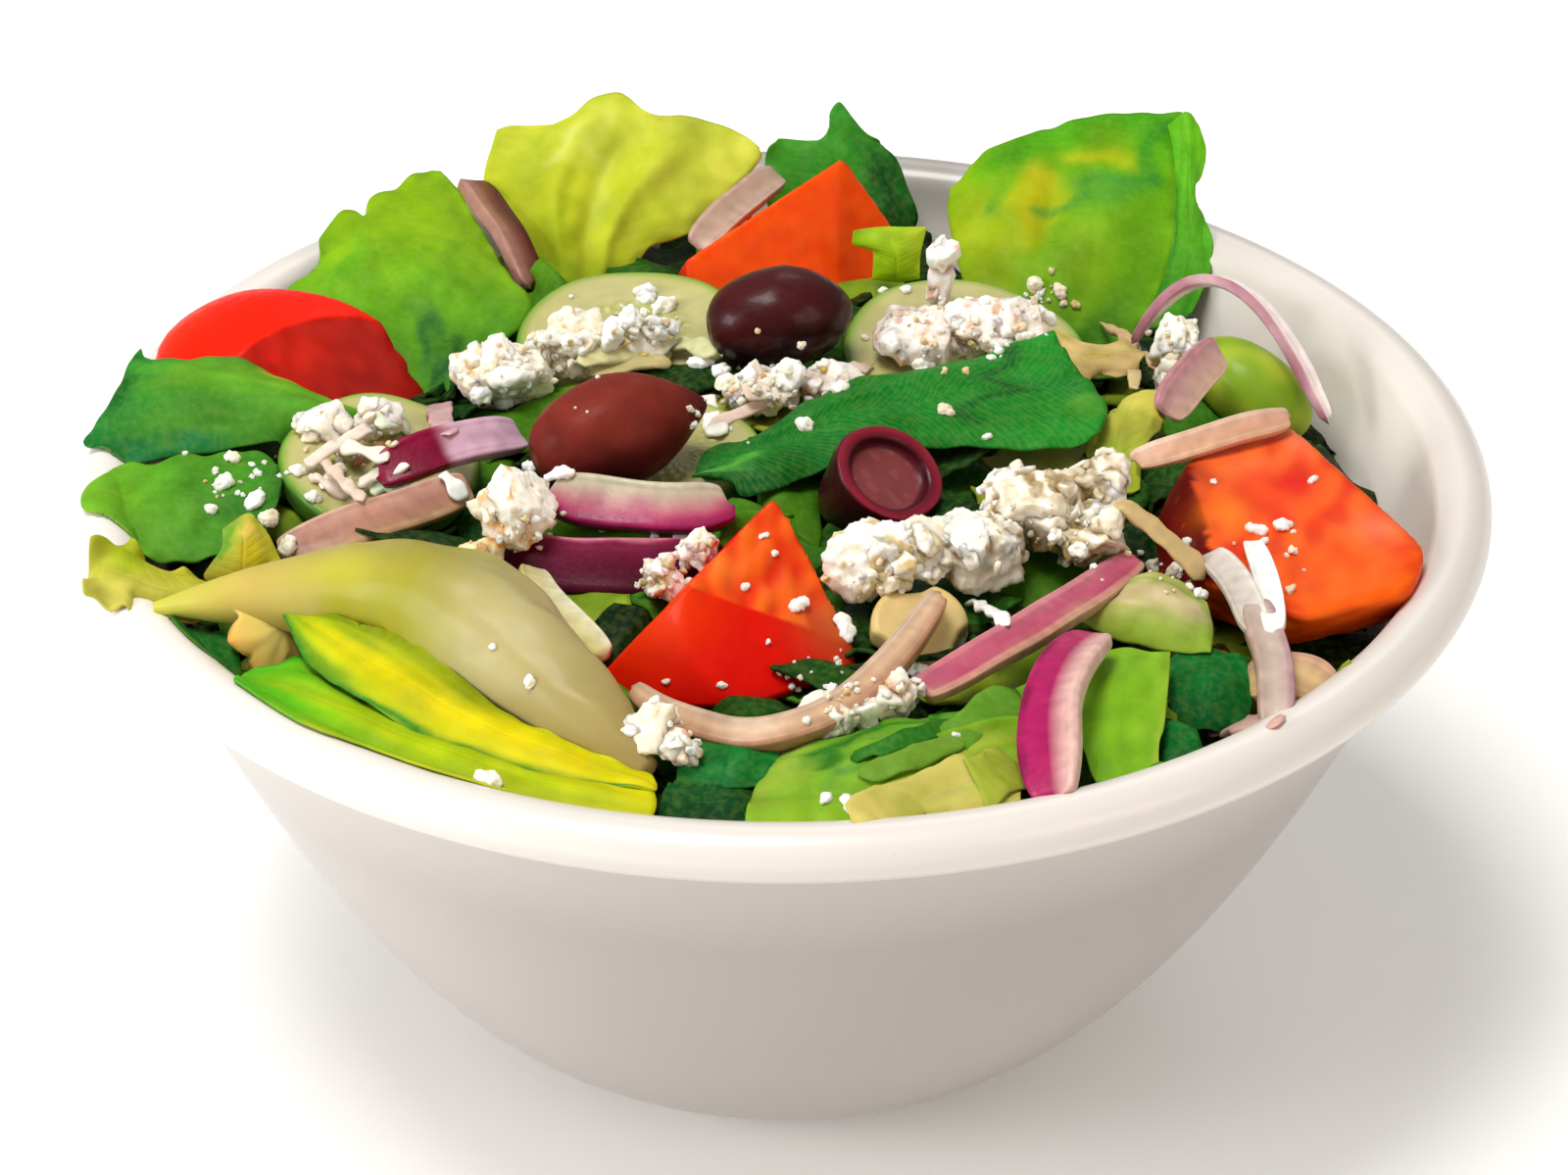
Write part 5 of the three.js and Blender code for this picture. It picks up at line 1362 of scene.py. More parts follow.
def pepperoncino(steps=150, sides=80):
    line = smooth_line([(*at, radius) for at, radius in PEPPER_LINE], steps)
    centres, radii = line[:, :3], line[:, 3]
    radii = np.maximum(radii, 0.6)
    radii[-1] *= 0.3
    radii[-2] *= 0.75
    body = step(np.arange(steps + 1) / steps, 0.3, 0.5)[:, None]

    def furrows(turn, ring):
        along = ring / steps
        folds = 0.035 * np.sin(3 * turn + 1 + 2 * along) + 0.02 * np.sin(5 * turn + 7 * along)
        return 1 + body * folds * (1 - along) * 1.6

    rings = rings_along(centres, unit(np.gradient(centres, axis=0)), radii, sides, furrows)
    rings += 0.25 * body[..., None] * waves(rings, 9, 12)[..., None] * np.array([0.3, 0.3, 1])
    points, faces = loft(rings)
    share = ring_values(np.arange(steps + 1) / steps, sides)
    turn = np.concatenate([np.tile(round_turn(sides), steps + 1), [0, 0]])
    tint = ramp(
        share, (0, 188, 188, 66), (0.22, 192, 170, 84), (0.36, 170, 158, 80), (0.5, 150, 142, 50),
        (0.64, 176, 164, 112), (0.82, 162, 146, 90), (1, 152, 130, 76),
    )
    low = step(-np.sin(turn + 0.5), -0.75, 0.1) * step(share, 0.33, 0.37) * (1 - step(share, 0.46, 0.68))
    tint = mix(tint, paint(158, 154, 6), 0.75 * low)
    # Painted light: a yellower glow on the upper side of the shoulder.
    glow = bell(share - 0.37, 0.06) * bell(turn - 2.1, 0.45)
    tint = mix(tint, paint(190, 186, 44), 0.55 * glow)
    return build("pepperoncino_body", points, faces, PEPPER, "pepperoncino", ["pepperoncino"], tint)


pepperoncino()


# %% sepals
def sepal_star(star, steps=10):
    """Dried sepals: a star that thins and bends back towards its points."""
    turn = round_turn(10 * steps)
    wave = np.abs(((turn - 0.3) * star["count"] / np.pi) % 2 - 1)
    edge = star["waist"] + (star["reach"] - star["waist"]) * wave**0.8
    rings = []
    for height, share in ((-1, 0.2), (-1, 0.6), (-0.7, 0.9), (0, 1), (0.7, 0.9), (1, 0.6), (1, 0.2)):
        reach = edge * share
        bend = -0.035 * reach**2
        z = height * star["thickness"] / 2 * (1 - 0.6 * share * reach / star["reach"]) + bend
        rings.append(np.stack([reach * np.cos(turn), reach * np.sin(turn), z], -1))
    points, faces = loft(np.array(rings))
    reach = np.hypot(points[:, 0], points[:, 1]) / star["reach"]
    tint = ramp(reach, (0, 216, 200, 110), (0.6, 222, 196, 100), (0.85, 228, 182, 92), (1, 226, 146, 62))
    points[:, 2] += 0.5 * waves(points, 4, 3) * reach
    facing = Vector(star["facing"]).to_track_quat("Z", "Y").to_matrix().to_4x4()
    matrix = np.array(Matrix.Translation(star["at"]) @ facing)
    return build("pepperoncino_sepals", placed(points, matrix), faces, PEPPER, "pepperoncino",
                 ["pepperoncino"], tint)


sepal_star(SEPALS)

# %% [markdown]
# ## Cucumber slices
# Round slices with a thin dark rim of skin, a firm pale ring and a wetter middle where the seeds
# are. The slice is turned like the bowl, and warped a little, since it lies on uneven leaves. The
# seeds are low relief in three groups, as a cucumber has three seed chambers.

# %% slices
CUCUMBERS = {
    "back_left": dict(at=(-24, 38, 91.5), roll=9, pitch=-4, radius=17.5, thickness=4.5),
    "back_right": dict(at=(28, 35, 90.5), roll=8, pitch=3, radius=19, thickness=4.5),
    "left": dict(at=(-60, -2, 92), roll=12, pitch=6, radius=15, thickness=4.2),
    "middle": dict(at=(-16, 1, 91.5), roll=8, pitch=-3, radius=13, thickness=4.2),
    "front": dict(at=(19, -47, 91.5), roll=30, pitch=4, radius=7, thickness=4.5, plain=(214, 184, 122)),
}
SEED_CHAMBERS = 3


def slice_outline(radius, thickness, bevel=1.0):
    half = thickness / 2
    line = [(share * (radius - bevel), -half) for share in np.linspace(0, 1, 12)]
    for corner, first in ((-1, -90), (1, 0)):
        for turn in np.radians(np.linspace(first, first + 90, 7)):
            height = corner * (half - bevel) + bevel * math.sin(turn)
            line.append((radius - bevel + bevel * math.cos(turn), height))
    return line + [(share * (radius - bevel), half) for share in np.linspace(1, 0, 12)]


def cucumber_slice(label, slice_, seed):
    radius, seeded = slice_["radius"], "plain" not in slice_
    mesh = turned(label, slice_outline(radius, slice_["thickness"]), 96, 120, CUCUMBER)
    points = coordinates(mesh) / MM
    reach = np.hypot(points[:, 0], points[:, 1]) / radius
    turn = np.arctan2(points[:, 1], points[:, 0])
    chamber = np.abs(np.cos(SEED_CHAMBERS * turn / 2 + seed))
    seeds = np.clip(np.sin(turn * 21 + seed) * np.sin(reach * 26 + turn * 3), 0, 1)
    seeds *= step(reach, 0.12, 0.22) * (1 - step(reach, 0.50, 0.60)) * chamber * seeded
    top = np.sign(points[:, 2])
    points[:, 2] += top * 0.35 * seeds + 0.5 * waves(points[:, :2], 26, seed)
    points[:, 2] -= top * 0.3 * step(reach, 0.45, 0.6) * (1 - step(reach, 0.6, 0.7)) * seeded
    if not seeded:
        points[:, :2] *= (1 - 0.22 * step(np.cos(3 * turn + 1), 0.0, 1.0))[:, None]
    tint = ramp(
        reach, (0, 176, 172, 116), (0.5, 168, 168, 98), (0.6, 184, 178, 124),
        (0.88, 180, 176, 112), (0.94, 142, 162, 70), (0.975, 96, 140, 46), (1, 70, 116, 38),
    )
    tint = mix(tint, paint(210, 204, 160), 0.7 * seeds)
    if not seeded:
        tint = mix(tint, paint(*slice_["plain"]), 0.85)
    matrix = spot(slice_["at"], 0, slice_["pitch"], slice_["roll"])
    move_points(mesh, placed(points, matrix) * MM)
    return dress(mesh, f"{label}_slice", CUCUMBER, "cucumber", [label], tint)


for number, (label, slice_) in enumerate(CUCUMBERS.items()):
    cucumber_slice(f"cucumber_{label}", slice_, number)

# %% the light green pepper
PEPPER_CHUNK = dict(at=(72, 32, 87), yaw=-35, pitch=20, length=22, radius=6.5)


def green_chunk(chunk):
    mesh = turned("green_pepper", olive_outline(chunk["length"], chunk["radius"]), 60, 72, PEPPER)
    points = placed(coordinates(mesh) / MM, AXIS_TO_X)
    points[:, 1:] *= 1 + 0.03 * waves(points, 12, 77)[:, None]
    tint = ramp(step(waves(points, 10, 3), -1, 1), (0, 126, 160, 34), (1, 166, 184, 56))
    matrix = spot(chunk["at"], chunk["yaw"], chunk["pitch"])
    move_points(mesh, placed(points, matrix) * MM)
    return dress(mesh, "green_pepper_chunk", PEPPER, "green_pepper", ["green_pepper"], tint)


green_chunk(PEPPER_CHUNK)

# %% [markdown]
# ## Red onion
# A strip is a slice through onion layers: flat, square-edged, bowed as the layer was, with fine
# lines along it. Where the slice holds the outer skin it is purple, and next to it white or pink.
# Each strip is lofted along its own bowed line with a nearly square section, and its colours are
# stops from one edge (-1) to the other (1), because that is how the layers lie.

# %% onion strips
ONIONS = {
    "middle_top": dict(start=(-34, -19, 98), end=(-8, -22, 97.4), bow=(0, -3, 0.4), face=(0, -0.6, 0.7),
        width=7.5, thickness=3.4, bands=[(-1, 128, 12, 70), (-0.6, 166, 40, 92), (-0.15, 178, 84, 112),
        (0.15, 196, 156, 146), (0.4, 176, 164, 142), (1, 188, 182, 156)]),
    "middle": dict(start=(-42, -26, 92.5), end=(-10, -28.5, 93), bow=(0, -5, 0.5), face=(0, -0.75, 0.6),
        width=8, thickness=3.2, bands=[(-1, 74, 2, 34), (0.5, 104, 8, 48), (0.85, 132, 30, 70),
        (1, 180, 100, 120)]),
    "front_long": dict(start=(18, -67, 93.5), end=(50, -35, 96), bow=(2, -2, 2), face=(0, -0.4, 0.9), width=5.6,
        thickness=3, bands=[(-1, 190, 150, 120), (-0.7, 190, 130, 118), (-0.45, 168, 60, 92),
        (0.4, 176, 84, 106), (1, 190, 124, 126)]),
    "front_short": dict(start=(43, -58, 97.5), end=(36, -92, 93), bow=(-3, 1, 2.5), face=(-0.35, -0.2, 0.9),
        width=8.5, thickness=3.2, bands=[(-1, 120, 8, 60), (-0.7, 162, 22, 86), (0.1, 154, 18, 80),
        (0.25, 202, 150, 150), (1, 206, 170, 158)]),
    "left": dict(start=(-59, -13, 97.5), end=(-39, 0.5, 96.5), bow=(0, -1, 2), face=(0.3, -0.5, 0.8), width=6.5,
        thickness=3, bands=[(-1, 112, 0, 38), (1, 134, 0, 54)], fades=(0.42, 206, 166, 184)),
    "left_low": dict(start=(-72.5, -26.5, 92), end=(-46, -13, 95), bow=(0, -1, 0.8), face=(0.1, -0.6, 0.8),
        width=6.5, thickness=2.6, bands=[(-1, 176, 142, 104), (-0.3, 160, 108, 88), (0.4, 184, 132, 116),
        (1, 190, 152, 132)]),
    "curl": dict(start=(-21, -64, 92.5), end=(22, -46, 97), bow=(1, -21, -1), face=(0, -0.5, 0.85), width=4.6,
        thickness=4.2, bands=[(-1, 172, 126, 96), (0, 200, 164, 130), (1, 186, 160, 138)]),
    "by_pepper": dict(start=(-36, -33, 93), end=(-25, -54, 91.5), bow=(-2, -1, 1), face=(0.4, -0.3, 0.85),
        width=5.5, thickness=4, bands=[(-1, 186, 176, 110), (0, 206, 200, 148), (1, 222, 222, 190)]),
    "arch": dict(start=(54.5, 42, 90), end=(83, 20, 88), bow=(0, 9, 12), face=(0.35, 0.3, 0.9), width=4.6,
        thickness=2.2, bands=[(-1, 176, 118, 130), (-0.6, 240, 216, 214), (1, 252, 242, 238)]),
    "right": dict(start=(65.5, -49.5, 97.2), end=(67, -72, 91.6), bow=(1, 0, 0.8), face=(-0.1, -0.3, 0.95),
        width=5.2, thickness=3.2, bands=[(-1, 158, 132, 116), (-0.2, 184, 166, 152), (0.5, 180, 156, 148),
        (1, 156, 112, 122)]),
    "right_top": dict(start=(51, -11, 98.5), end=(74.5, -1.5, 100.8), bow=(0, -1.5, 1), face=(0, -0.6, 0.8),
        width=4.4, thickness=2.2, bands=[(-1, 208, 168, 136), (0, 196, 146, 120), (1, 214, 184, 160)]),
    "right_chip": dict(start=(57, 8, 96), end=(66, 24, 98), bow=(0, 0, 1), face=(0.3, -0.8, 0.5), width=6.5,
        thickness=2.4, bands=[(-1, 206, 174, 150), (0, 196, 156, 148), (1, 176, 124, 130)]),
    "back_left": dict(start=(-51, 79, 99), end=(-40, 57, 92), bow=(1, 0, 1), face=(0.6, -0.5, 0.6), width=6,
        thickness=3, bands=[(-1, 170, 124, 112), (0, 120, 66, 56), (0.6, 80, 22, 22), (1, 56, 8, 10)]),
    "back": dict(start=(-1, 82, 99), end=(-14, 66, 94.5), bow=(0, 0, 1), face=(0, -0.6, 0.8), width=5.5,
        thickness=2.8, bands=[(-1, 176, 146, 132), (0, 166, 142, 122), (1, 190, 168, 152)]),
    "rim_right": dict(start=(65, -57, 89.6), end=(75, -61.5, 90.4), bow=(0, 0, 1.5), face=(0.2, -0.4, 0.9),
        width=8, thickness=3, bands=[(-1, 190, 150, 104), (0, 204, 174, 124), (1, 196, 150, 130)]),
    "right_prong": dict(start=(60.5, -35.3, 97.3), end=(65.8, -55.5, 97.1), bow=(0.5, 0, 0.3),
        face=(-0.1, -0.4, 0.9), width=4.6, thickness=1.8, bands=[(-1, 176, 164, 152), (1, 212, 204, 194)],
        node="right"),
    "right_tip": dict(start=(66.5, -32.5, 97.4), end=(67.6, -57, 97.2), bow=(0.8, 0, 0.4),
        face=(-0.1, -0.4, 0.9), width=3.6, thickness=2, bands=[(-1, 234, 228, 218), (1, 252, 248, 240)],
        node="right"),
}
PURPLE_STRIPS = ("middle_top", "middle", "front_long", "front_short", "left")


def rounded_square(sides, wide, tall):
    """The section of a strip, from -1 to 1 each way; low powers make its corners squarer."""
    turn = round_turn(sides)
    return [np.sign(way) * np.abs(way) ** power for way, power in ((np.cos(turn), wide), (np.sin(turn), tall))]


def onion_strip(label, strip, seed, steps=72, sides=48):
    share, p, t, n, s = spine(strip["start"], strip["end"], strip["bow"], strip["face"], steps)
    taper = 1 - 0.35 * np.abs(2 * share - 1) ** 6
    closing = np.sqrt(np.clip(1 - np.abs(2 * share - 1) ** 60, 0.02, 1))
    flat, high = rounded_square(sides, 0.32, 0.30)
    lines = 0.03 * np.sin(flat * 11 + seed)[None, :] * (1 + 0.5 * np.sin(share * 9 + seed))[:, None]
    slant = 0.10 * strip["width"] * flat[None, :] * np.sin(seed) * (np.abs(2 * share - 1) ** 8)[:, None]
    wide = (strip["width"] / 2 * taper * closing)[:, None] * flat[None, :]
    dish = 0.03 * strip["width"] * (flat**2 - 0.4)
    tall = (0.42 * strip["thickness"] * taper * closing)[:, None] * (high + lines) + dish * closing[:, None]
    rings = p[:, None] + s[:, None] * wide[..., None] + n[:, None] * tall[..., None]
    rings = rings + t[:, None] * (slant * np.sign(2 * share - 1)[:, None])[..., None]
    rings = rings + 0.22 * waves(rings, 15, seed)[..., None] * np.array([0.4, 0.4, 0.6])
    points, faces = loft(rings)
    side = np.concatenate([np.tile(flat, steps + 1), [0, 0]])
    along = ring_values(share, sides)
    wander = 0.07 * waves(points, 8, seed + 3)
    tint = ramp(side + wander, *strip["bands"])
    if "fades" in strip:
        start, *tone = strip["fades"]
        tint = mix(tint, paint(*tone), step(along + 0.3 * wander, start, 0.52))
    fibres = 1 + 0.09 * np.sin(side * 19 + seed) + 0.05 * waves(points, 2.2, seed + 5)
    tint = tint * np.stack([fibres, fibres, fibres, np.ones_like(fibres)], -1)
    slot = "onion_purple" if label in PURPLE_STRIPS else "onion_pale"
    stands_for = "onion_" + strip.get("node", label)
    return build(f"onion_{label}_strip", points, faces, ONION, slot, [stands_for], tint)


for number, (label, strip) in enumerate(ONIONS.items()):
    onion_strip(label, strip, 300 + 11 * number)

# %% [markdown]
# ## Feta
# Crumbled feta breaks along uneven planes into blocks that shed crumbs. A cluster is many separate
# blocks: a few large ones where the solid has its lumps, and smaller and smaller ones pressed
# against them. Each block is a ball pushed towards a box and chipped by random flat breaks.
# A point gets more of the crease tint, straw, rose or olive, the nearer it lies to another block
# and the lower it lies: painted shade in the creases and under the cluster. Random spots take the
# tint too, and so do listed spots, where it is painted shade.

# %% feta finish
def feta_finish():
    made, tree, shader = recipe("feta")
    pit = grain(tree, 1.3, 5)
    shade = blend(tree, span(tree, pit, 0.30, 0.55), (0.90, 0.84, 0.70, 1), (1.0, 1.0, 1.0, 1))
    feed(tree, shader.inputs["Base Color"], blend(tree, 1.0, attribute(tree, "tint", "Color"), shade, "MULTIPLY"))
    constants(
        shader,
        Roughness=0.55, Specular_IOR_Level=0.3, Subsurface_Weight=0.65, Subsurface_Radius=(1.7, 1.5, 1.2),
        Subsurface_Scale=1.0 * MM,
    )
    soft = bump(tree, shader, pit, 0.14)
    bump(tree, shader, grain(tree, 0.5, 2), 0.06, soft)
    return made


FETA = feta_finish()
# The crease tints: they colour the painted shade in the creases and under each cluster.
STRAW, OLIVE_OIL, ROSE, AMBER = (206, 176, 100), (140, 108, 20), (216, 164, 136), (226, 150, 50)
FETA_CLUSTERS = {
    "back_left": dict(at=(-33, 25, 96.5), seed=3, crease=STRAW, lumps=[(-10, -4, 0, 8, 6.5, 5),
        (0, 2, 1, 7, 6, 5), (9, 5, 0, 6, 4.6, 4)]),
    "middle": dict(at=(0, 17, 95), seed=11, crease=ROSE, tone=(250, 234, 220), lumps=[(-3, -1, 0, 7, 4.6, 3.6),
        (7, 1, 0, 5, 4.2, 3.4)]),
    "back_right": dict(at=(27, 32, 96), seed=19, crease=ROSE, tone=(253, 238, 228),
        lumps=[(-6, -1, 0, 8, 5.6, 4.8), (5, 2, 0.6, 9, 5.8, 4.8)]),
    "shard": dict(at=(24, 44, 100), pitch=6, seed=5, crease=ROSE, tone=(254, 250, 246), pieces=(1, 0),
        lumps=[(0, 0, -2, 2.3, 2.2, 6.5), (0.3, 0, 4, 3, 2.4, 3)]),
    "right": dict(at=(37, -29, 100.5), seed=27, crease=OLIVE_OIL, tone=(252, 242, 218), stains=[(0, 0, 6, 6),
        (5, -8, -2, 4.5), (8, 5, 4, 3)], lumps=[(0, 0, 0, 9, 8, 6.5), (-9, -7, -2, 7, 6, 5.5),
        (8, 5, 0.6, 6, 5.4, 5), (6, -5, -1.5, 6, 5, 5), (-4, 5, 0, 5, 4.6, 4)]),
    "centre": dict(at=(13, -40, 98.5), seed=33, crease=STRAW, lumps=[(0, 0, 0, 7, 5.6, 5.6),
        (7, 3, 0.6, 6, 5, 5)]),
    "left": dict(at=(-66, 0, 97), seed=41, crease=ROSE, lumps=[(-2, 2, 0, 4.6, 3.6, 3), (5, 4, 0, 4, 3.4, 3)]),
    "cube": dict(at=(-38.5, -27.5, 99.5), yaw=25, roll=20, seed=52, crease=AMBER, tone=(246, 234, 190),
        square=0.95, pieces=(1, 3), stains=[(-4, -4, 1, 1.8), (-1, -4.5, 0, 1.8), (2, -4, -2, 1.8)],
        lumps=[(0, 0, 0.4, 6.4, 6, 5.8), (-6, -3, -4, 3, 2.8, 2.4)]),
    "front_left": dict(at=(-18, -78, 95), seed=63, crease=ROSE, lumps=[(0, 0, 0, 4.8, 4, 4),
        (4, -3, -1, 3, 2.6, 2.6)]),
    "front": dict(at=(6, -72, 93), seed=71, crease=ROSE, lumps=[(0, 0, 0, 4.8, 3.8, 3.6),
        (4, 1, 0, 3, 2.8, 2.8)]),
    "front_right": dict(at=(15, -67, 94), seed=77, crease=ROSE, lumps=[(0, 0, 0, 4.2, 3.8, 3.6)]),
    "far_right": dict(at=(61, 36, 92), seed=83, crease=STRAW, lumps=[(0, 0, 0, 3.6, 4.4, 5),
        (-1, -5, -3, 3.4, 3.4, 3.6)]),
    "by_tomato": dict(at=(-17, -38, 95), seed=91, crease=STRAW, lumps=[(0, 0, 0, 3.6, 4.4, 3),
        (5, 6, 1, 3.2, 3, 2.8)]),
}
MAIN_DETAIL = 5  # subdivisions of a main block's ball; chunks have 4 and crumbs 3
BLOCK_FACES = {detail: ball_directions(detail) for detail in (3, 4, MAIN_DETAIL)}
BOXY, ROUNDED = 0.72, 0.55  # how far a ball is pushed towards a box
MOST_BRINE = 0.92
FAR = 9.0


def broken_block(half, rng, detail, square, breaks=9):
    """A ball pushed towards a box, turned at random, with flat breaks and a rough skin."""
    rays, faces = BLOCK_FACES[detail]
    box = rays / np.abs(rays).max(1, keepdims=True)
    shape = rays * (1 - square) + box * square
    for _ in range(breaks):
        normal = unit(rng.normal(size=3))
        over = np.maximum(shape @ normal - rng.uniform(0.6, 1.0), 0)
        shape = shape - over[:, None] * normal
    turn = np.array(Matrix.Rotation(rng.uniform(0, 6.3), 3, Vector(rng.normal(size=3))))
    shape = (shape @ turn.T) * np.array(half)
    seed = int(rng.integers(1, 9999))
    rough = waves(shape, 3.2, seed) + 0.7 * waves(shape, 1.5, seed + 1) + 0.4 * waves(shape, 0.7, seed + 2)
    return shape + (rays @ turn.T) * (0.055 * rough * min(3.0, float(np.mean(half))))[:, None], faces


def cluster_blocks(cluster, rng):
    """Places and sizes of a cluster's blocks: its lumps, chunks on them and crumbs between."""
    blocks = []
    for x, y, z, *half in cluster["lumps"]:
        half, at = np.array(half), np.array((x, y, z))
        blocks.append((at, half * 0.9, MAIN_DETAIL if half.mean() > 5 else 4))
        chunks, crumbs = cluster.get("pieces", (5, 7))
        for count, low, high, near, far, detail in (
            (chunks, 0.32, 0.52, 0.48, 0.68, 4), (crumbs, 0.09, 0.2, 0.82, 0.97, 3),
        ):
            for _ in range(count):
                away = unit(rng.normal(size=3) * (1, 1, 0.8) + (0, 0, 0.3)) * half * rng.uniform(near, far)
                blocks.append((at + away, half.mean() * rng.uniform(low, high, 3), detail))
    return blocks


def feta_cluster(label, cluster):
    seed, get = cluster["seed"], cluster.get
    rng = np.random.default_rng(seed)
    blocks = cluster_blocks(cluster, rng)
    parts = []
    for number, (at, half, detail) in enumerate(blocks):
        square = get("square", BOXY if detail < MAIN_DETAIL else ROUNDED)
        shape, faces = broken_block(half, rng, detail, square=square)
        shape = shape + at
        gap = np.full(len(shape), FAR)
        for other, (centre, size, _) in enumerate(blocks):
            if other != number and size.mean() > 0.8:
                gap = np.minimum(gap, (np.linalg.norm((shape - centre) / size, axis=1) - 0.95) * size.mean())
        # Painted shade: the nearer a point lies to another block, the more crease tint it gets.
        crease = 1 - step(gap, 0.0, 0.8)
        patch = 0.2 + 0.55 * step(waves(shape, 7, seed), 0.0, 1.1)
        # Random spots of crease tint, and listed spots where it is painted shade in the cracks.
        stain = 0.8 * step(waves(shape, 3.4, seed + 9), 1.2, 1.8)
        for *place, size in get("stains", []):
            near = bell(np.linalg.norm(shape - place, axis=1), size)
            patch = patch + near
            stain = np.maximum(stain, near * step(waves(shape, 2.6, seed + 5), -1.0, 0.0))
        # Painted shade: the lower part of a cluster takes more of the crease tint.
        low = 0.3 * (1 - step(shape[:, 2] / max(h[2] for _, h, _ in blocks), -0.9, 0.2))
        tone = mix(paint(254, 251, 243), paint(*get("tone", (246, 234, 212))), rng.uniform(0, 1))
        brine = np.clip(np.maximum(crease * patch, stain) + low, 0, MOST_BRINE)
        tint = mix(tone + 0 * shape[:, :1], paint(*cluster["crease"]), brine)
        parts.append((shape, faces, tint))
    points, faces, tint = heap_of(parts)
    matrix = spot(cluster["at"], get("yaw", 0), get("pitch", 0), get("roll", 0))
    label = f"feta_{label}"
    return build(f"{label}_crumble", placed(points, matrix), faces, FETA, "feta", [label], tint)


for label, cluster in FETA_CLUSTERS.items():
    feta_cluster(label, cluster)

# %% [markdown]
# ## Crumbs and slivers
# Feta sheds crumbs from a grain of sand to a pea, and they lie on whatever is below. A list gives
# the larger ones by place, length, width, heading and how far their colour goes from white towards
# straw, and the finer ones are strewn round the clusters. A ray from the front finds what each one
# lands on, so it rests on an olive or a leaf without a place worked out by hand. The lumps
# themselves are one shape used many times, so a Geometry Nodes tree puts a ball on every point
# with that point's size and turn, makes them real and pushes their skin in and out with noise.

# %% the tree for lumps
def lump_tree():
    kinds = {"Points": "Geometry", "Detail": "Int", "Seed": "Int", "Roughness": "Float", "Finish": "Material"}
    tree, inputs, result = new_tree("lumps on points", kinds)
    ball = node(tree, "GeometryNodeMeshIcoSphere", 0.5, inputs["Detail"])
    size, turn, bulk = (
        node(tree, "GeometryNodeInputNamedAttribute", name, data_type=kind).outputs[0]
        for name, kind in (("size", "FLOAT_VECTOR"), ("turn", "FLOAT_VECTOR"), ("bulk", "FLOAT"))
    )
    vary = node(
        tree, "FunctionNodeRandomValue", (0.85, 0.85, 0.85), (1.15, 1.15, 1.15), data_type="FLOAT_VECTOR",
        Seed=inputs["Seed"],
    )
    sized = node(tree, "ShaderNodeVectorMath", size, vary.outputs[0], operation="MULTIPLY")
    put = node(
        tree, "GeometryNodeInstanceOnPoints", Points=inputs["Points"], Instance=ball.outputs["Mesh"],
        Rotation=turn, Scale=sized.outputs[0],
    )
    real = node(tree, "GeometryNodeRealizeInstances", put.outputs[0])
    rough = node(tree, "ShaderNodeTexNoise", Detail=2.0, Scale=calc(tree, "DIVIDE", 1.9, bulk))
    push = calc(tree, "MULTIPLY", calc(tree, "SUBTRACT", rough.outputs[0], 0.5), bulk)
    push = calc(tree, "MULTIPLY", push, inputs["Roughness"])
    outward = node(tree, "GeometryNodeInputNormal").outputs[0]
    offset = node(tree, "ShaderNodeVectorMath", outward, operation="SCALE", Scale=push)
    moved = node(tree, "GeometryNodeSetPosition", real.outputs[0], Offset=offset.outputs[0])
    return finish_tree(tree, moved.outputs[0], inputs["Finish"], result)


LUMPS = lump_tree()

# %% where a crumb lands
GRAPH = bpy.context.evaluated_depsgraph_get()
SOLIDS = {piece.name for piece in frame["nodes"].values()}


HEAP_TOP = 97


def landing(x, y):
    """Where a ray from the camera, aimed at a place at the height of the heap's top, meets the salad."""
    start = camera.location
    ray = (Vector((x, y, HEAP_TOP)) * MM - start).normalized()
    for _ in range(12):
        met, place, normal, _, piece, _ = bpy.context.scene.ray_cast(GRAPH, start, ray)
        if not met:
            return None
        if piece.name not in SOLIDS:
            return np.array(place) / MM, normal, piece.name
        start = place + ray * 1e-5
    return None


def lumps(name, crumbs, detail, seed, roughness, smooth=True):
    """Lumps at (place, normal, (length, width, height), heading, tone), as one finished piece."""
    mesh = bpy.data.meshes.new(name)
    places, turns = [], []
    for place, normal, size, heading, tone in crumbs:
        along = Vector((math.cos(math.radians(heading)), math.sin(math.radians(heading)), 0))
        along = (along - normal * along.dot(normal)).normalized()
        axes = Matrix((along, normal.cross(along), normal)).transposed()
        places.append(np.array(place) + np.array(normal) * size[2] * 0.22)
        turns.append(tuple(axes.to_euler()))
    mesh.from_pydata((np.array(places) * MM).tolist(), [], [])
    sizes = np.array([size for _, _, size, _, _ in crumbs])
    bulk, tone = sizes.mean(1) * MM, np.array([tone for *_, tone in crumbs])
    for key, kind, field, value in (
        ("size", "FLOAT_VECTOR", "vector", sizes * MM), ("turn", "FLOAT_VECTOR", "vector", np.array(turns)),
        ("bulk", "FLOAT", "value", bulk), ("tone", "FLOAT", "value", tone),
    ):
        layer = mesh.attributes.new(key, kind, "POINT")
        layer.data.foreach_set(field, value.astype(np.float32).ravel())
    source = link(bpy.data.objects.new(name, mesh))
    made = run_tree(source, LUMPS, name, Detail=detail, Seed=seed, Roughness=roughness, Finish=FETA)
    tint = ramp(read_value(made, "tone"), *CRUMB_TONES)
    return dress(made, name, FETA, "feta", [HEAP], tint, smooth)
